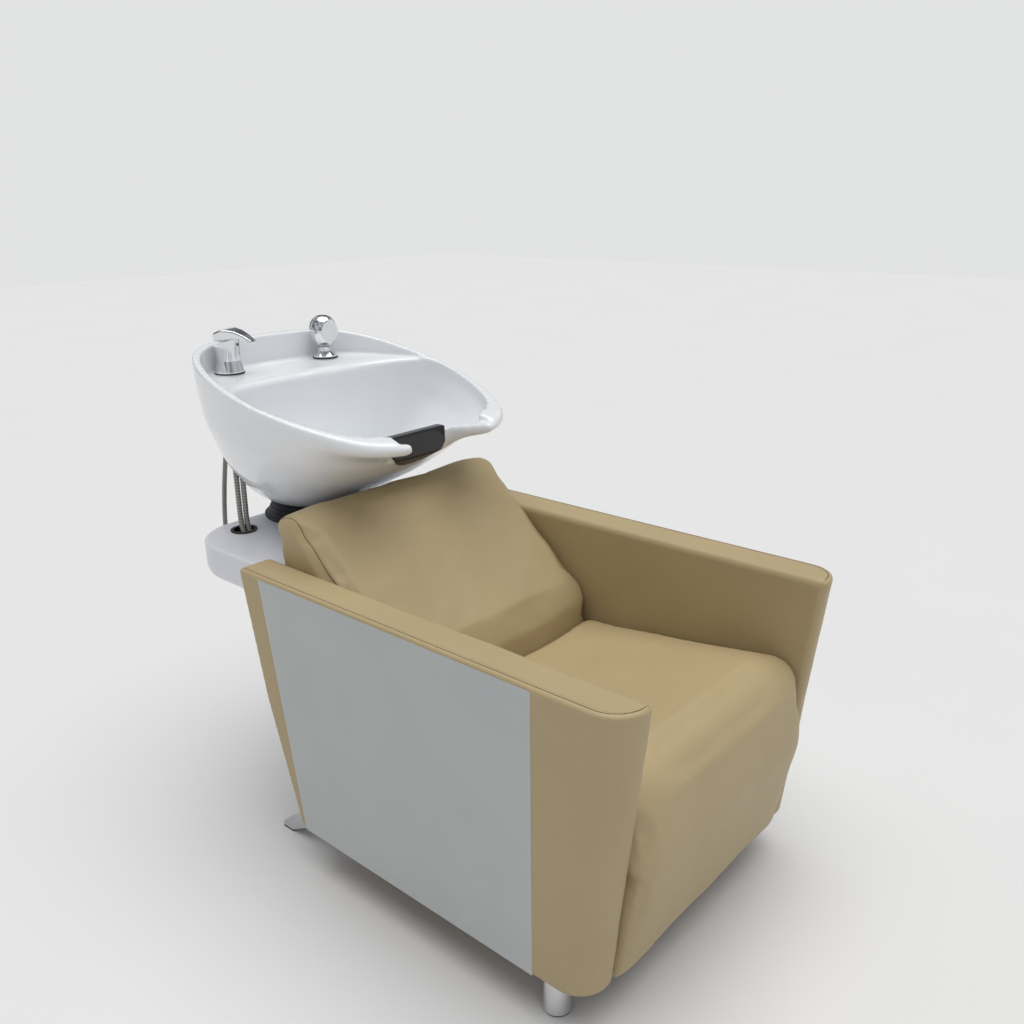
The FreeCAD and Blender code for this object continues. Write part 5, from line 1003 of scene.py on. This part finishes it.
class WASHBED_OT_bowl(bpy.types.Operator):
    """Glazed ceramic bowl"""

    bl_idname = "washbed.bowl"
    bl_label = "Bowl"

    rim_height = 0.9158
    widest_y = 0.3225
    rim_slope = math.tan(math.radians(13.15))
    basin_middle = 0.35
    basin_reach = (0.245, 0.25)
    basin_back = 0.440
    notch_half = 0.078

    def execute(self, context):
        sizes = sizes_of(context)
        shape = finished(node_copy("bowl", "wash_bowl"), "wash_bowl")
        piece = remeshed(shape, "wash_bowl", sizes.glaze_grid)
        x, y, z = places_of(piece.data).T
        below_rim = self.rim_height + (y - self.widest_y) * self.rim_slope - z
        across = np.hypot(x / self.basin_reach[0], (y - self.basin_middle) / self.basin_reach[1])
        inside = np.clip((below_rim - 0.016) / 0.02, 0, 1) * np.clip((1.02 - across) / 0.1, 0, 1)
        arc = self.basin_back - 0.10 * np.clip((np.abs(x) - 0.12) / 0.13, 0, 1) ** 2
        deck_edge = np.exp(-((y - arc) / 0.03) ** 2) * np.clip((z - 0.86) / 0.03, 0, 1)
        deck_edge *= np.abs(x) < 0.25
        beside_notch = (np.abs(x) - self.notch_half - 0.012) / 0.022
        horns = np.exp(-beside_notch ** 2) * np.clip((0.17 - y) / 0.02, 0, 1)
        relax(piece.data, 4, 0.5)
        relax(piece.data, 26, 0.5, inside)
        relax(piece.data, 60, 0.5, deck_edge)
        relax(piece.data, 14, 0.5, horns * (z > 0.80))
        dress(piece, "ceramic")
        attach(piece, BOWL)
        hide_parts("bowl")
        return {"FINISHED"}


class WASHBED_OT_rubber(bpy.types.Operator):
    """Rubber neck rest and the folded boot under the bowl"""

    bl_idname = "washbed.rubber"
    bl_label = "Rubber parts"

    boot_wall = 3.0
    boot_rise = 8
    flange = 12
    taper = 12
    fold_depth = 6
    mouth = 19

    def execute(self, context):
        rest = remeshed(finished(node_copy("neck_rest", "neck_pad"), "neck_pad"), "neck_pad", 0.0016)
        smoothed(rest.data, 24)
        relax(rest.data, 4, 0.5)
        dress(rest, "gloss_rubber")
        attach(rest, BOWL)
        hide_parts("neck_rest")
        self.boot(sizes_of(context))
        return {"FINISHED"}

    def boot(self, sizes):
        """A bellows from the platform up to the foot of the bowl."""
        low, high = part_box("tilt_boot")
        base = (high.x - low.x) / 2 / MM
        tall = (high.z - low.z) / MM + self.boot_rise
        wall = self.boot_wall
        outside = [(base, 0), (base, wall)]
        folds = sizes.boot_folds
        for i in range(folds * 8 + 1):
            share = i / (folds * 8)
            wave = 0.5 - 0.5 * math.cos(2 * math.pi * folds * share)
            radius = base - self.flange - self.taper * share + self.fold_depth * wave
            outside.append((radius, wall + (tall - wall) * share))
        inside = [(radius - wall, height) for radius, height in reversed(outside[2:])]
        profile = outside + inside + [(base - self.mouth, 0)]
        middle = ((low.x + high.x) / 2 / MM, (low.y + high.y) / 2 / MM, low.z / MM)
        boot = new_piece("bowl_boot", lathe("bowl_boot", profile, middle, 96), "rubber")
        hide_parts("tilt_boot")
        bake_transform(boot)


class WASHBED_OT_mixer(bpy.types.Operator):
    """Smooth chrome lever"""

    bl_idname = "washbed.mixer"
    bl_label = "Mixer lever"

    def execute(self, context):
        lever = remeshed(finished(node_copy("mixer_lever", "lever"), "lever"), "lever", 0.0011)
        relax(lever.data, 9, 0.5)
        dress(lever, "chrome")
        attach(lever, LEVER)
        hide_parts("mixer_lever")
        return {"FINISHED"}


class WASHBED_OT_finish_frame(bpy.types.Operator):
    """Finishes of the carried-over parts"""

    bl_idname = "washbed.finish_frame"
    bl_label = "Frame finishes"

    def execute(self, context):
        slots = {part["node"]: part["material_slot"] for part in FRAME["record"]["subparts"]}
        for node, thing in FRAME["nodes"].items():
            if not thing.hide_render:
                dress(thing, slots[node])
        return {"FINISHED"}


class WASHBED_PT_panel(bpy.types.Panel):
    """Sidebar panel of the wash bed"""

    bl_label = "Wash Bed"
    bl_idname = "WASHBED_PT_panel"
    bl_space_type = "VIEW_3D"
    bl_region_type = "UI"
    bl_category = "Wash Bed"

    def draw(self, context):
        for group in (colours_of(context), sizes_of(context)):
            for name in group.__annotations__:
                self.layout.prop(group, name)
        for step in STEPS:
            self.layout.operator(step.bl_idname)


STEPS = (WASHBED_OT_stage, WASHBED_OT_hoses, WASHBED_OT_arms, WASHBED_OT_seat, WASHBED_OT_back,
         WASHBED_OT_bowl, WASHBED_OT_rubber, WASHBED_OT_mixer, WASHBED_OT_finish_frame)
CLASSES = (WashBedColours, WashBedSizes, *STEPS, WASHBED_PT_panel)


def register():
    for item in CLASSES:
        bpy.utils.register_class(item)
    bpy.types.Scene.wash_bed_colours = PointerProperty(type=WashBedColours)
    bpy.types.Scene.wash_bed_sizes = PointerProperty(type=WashBedSizes)


def unregister():
    del bpy.types.Scene.wash_bed_sizes
    del bpy.types.Scene.wash_bed_colours
    for item in reversed(CLASSES):
        bpy.utils.unregister_class(item)


def main():
    register()
    for step in STEPS:
        group, name = step.bl_idname.split(".")
        getattr(getattr(bpy.ops, group), name)()


if __name__ == "__main__":
    main()
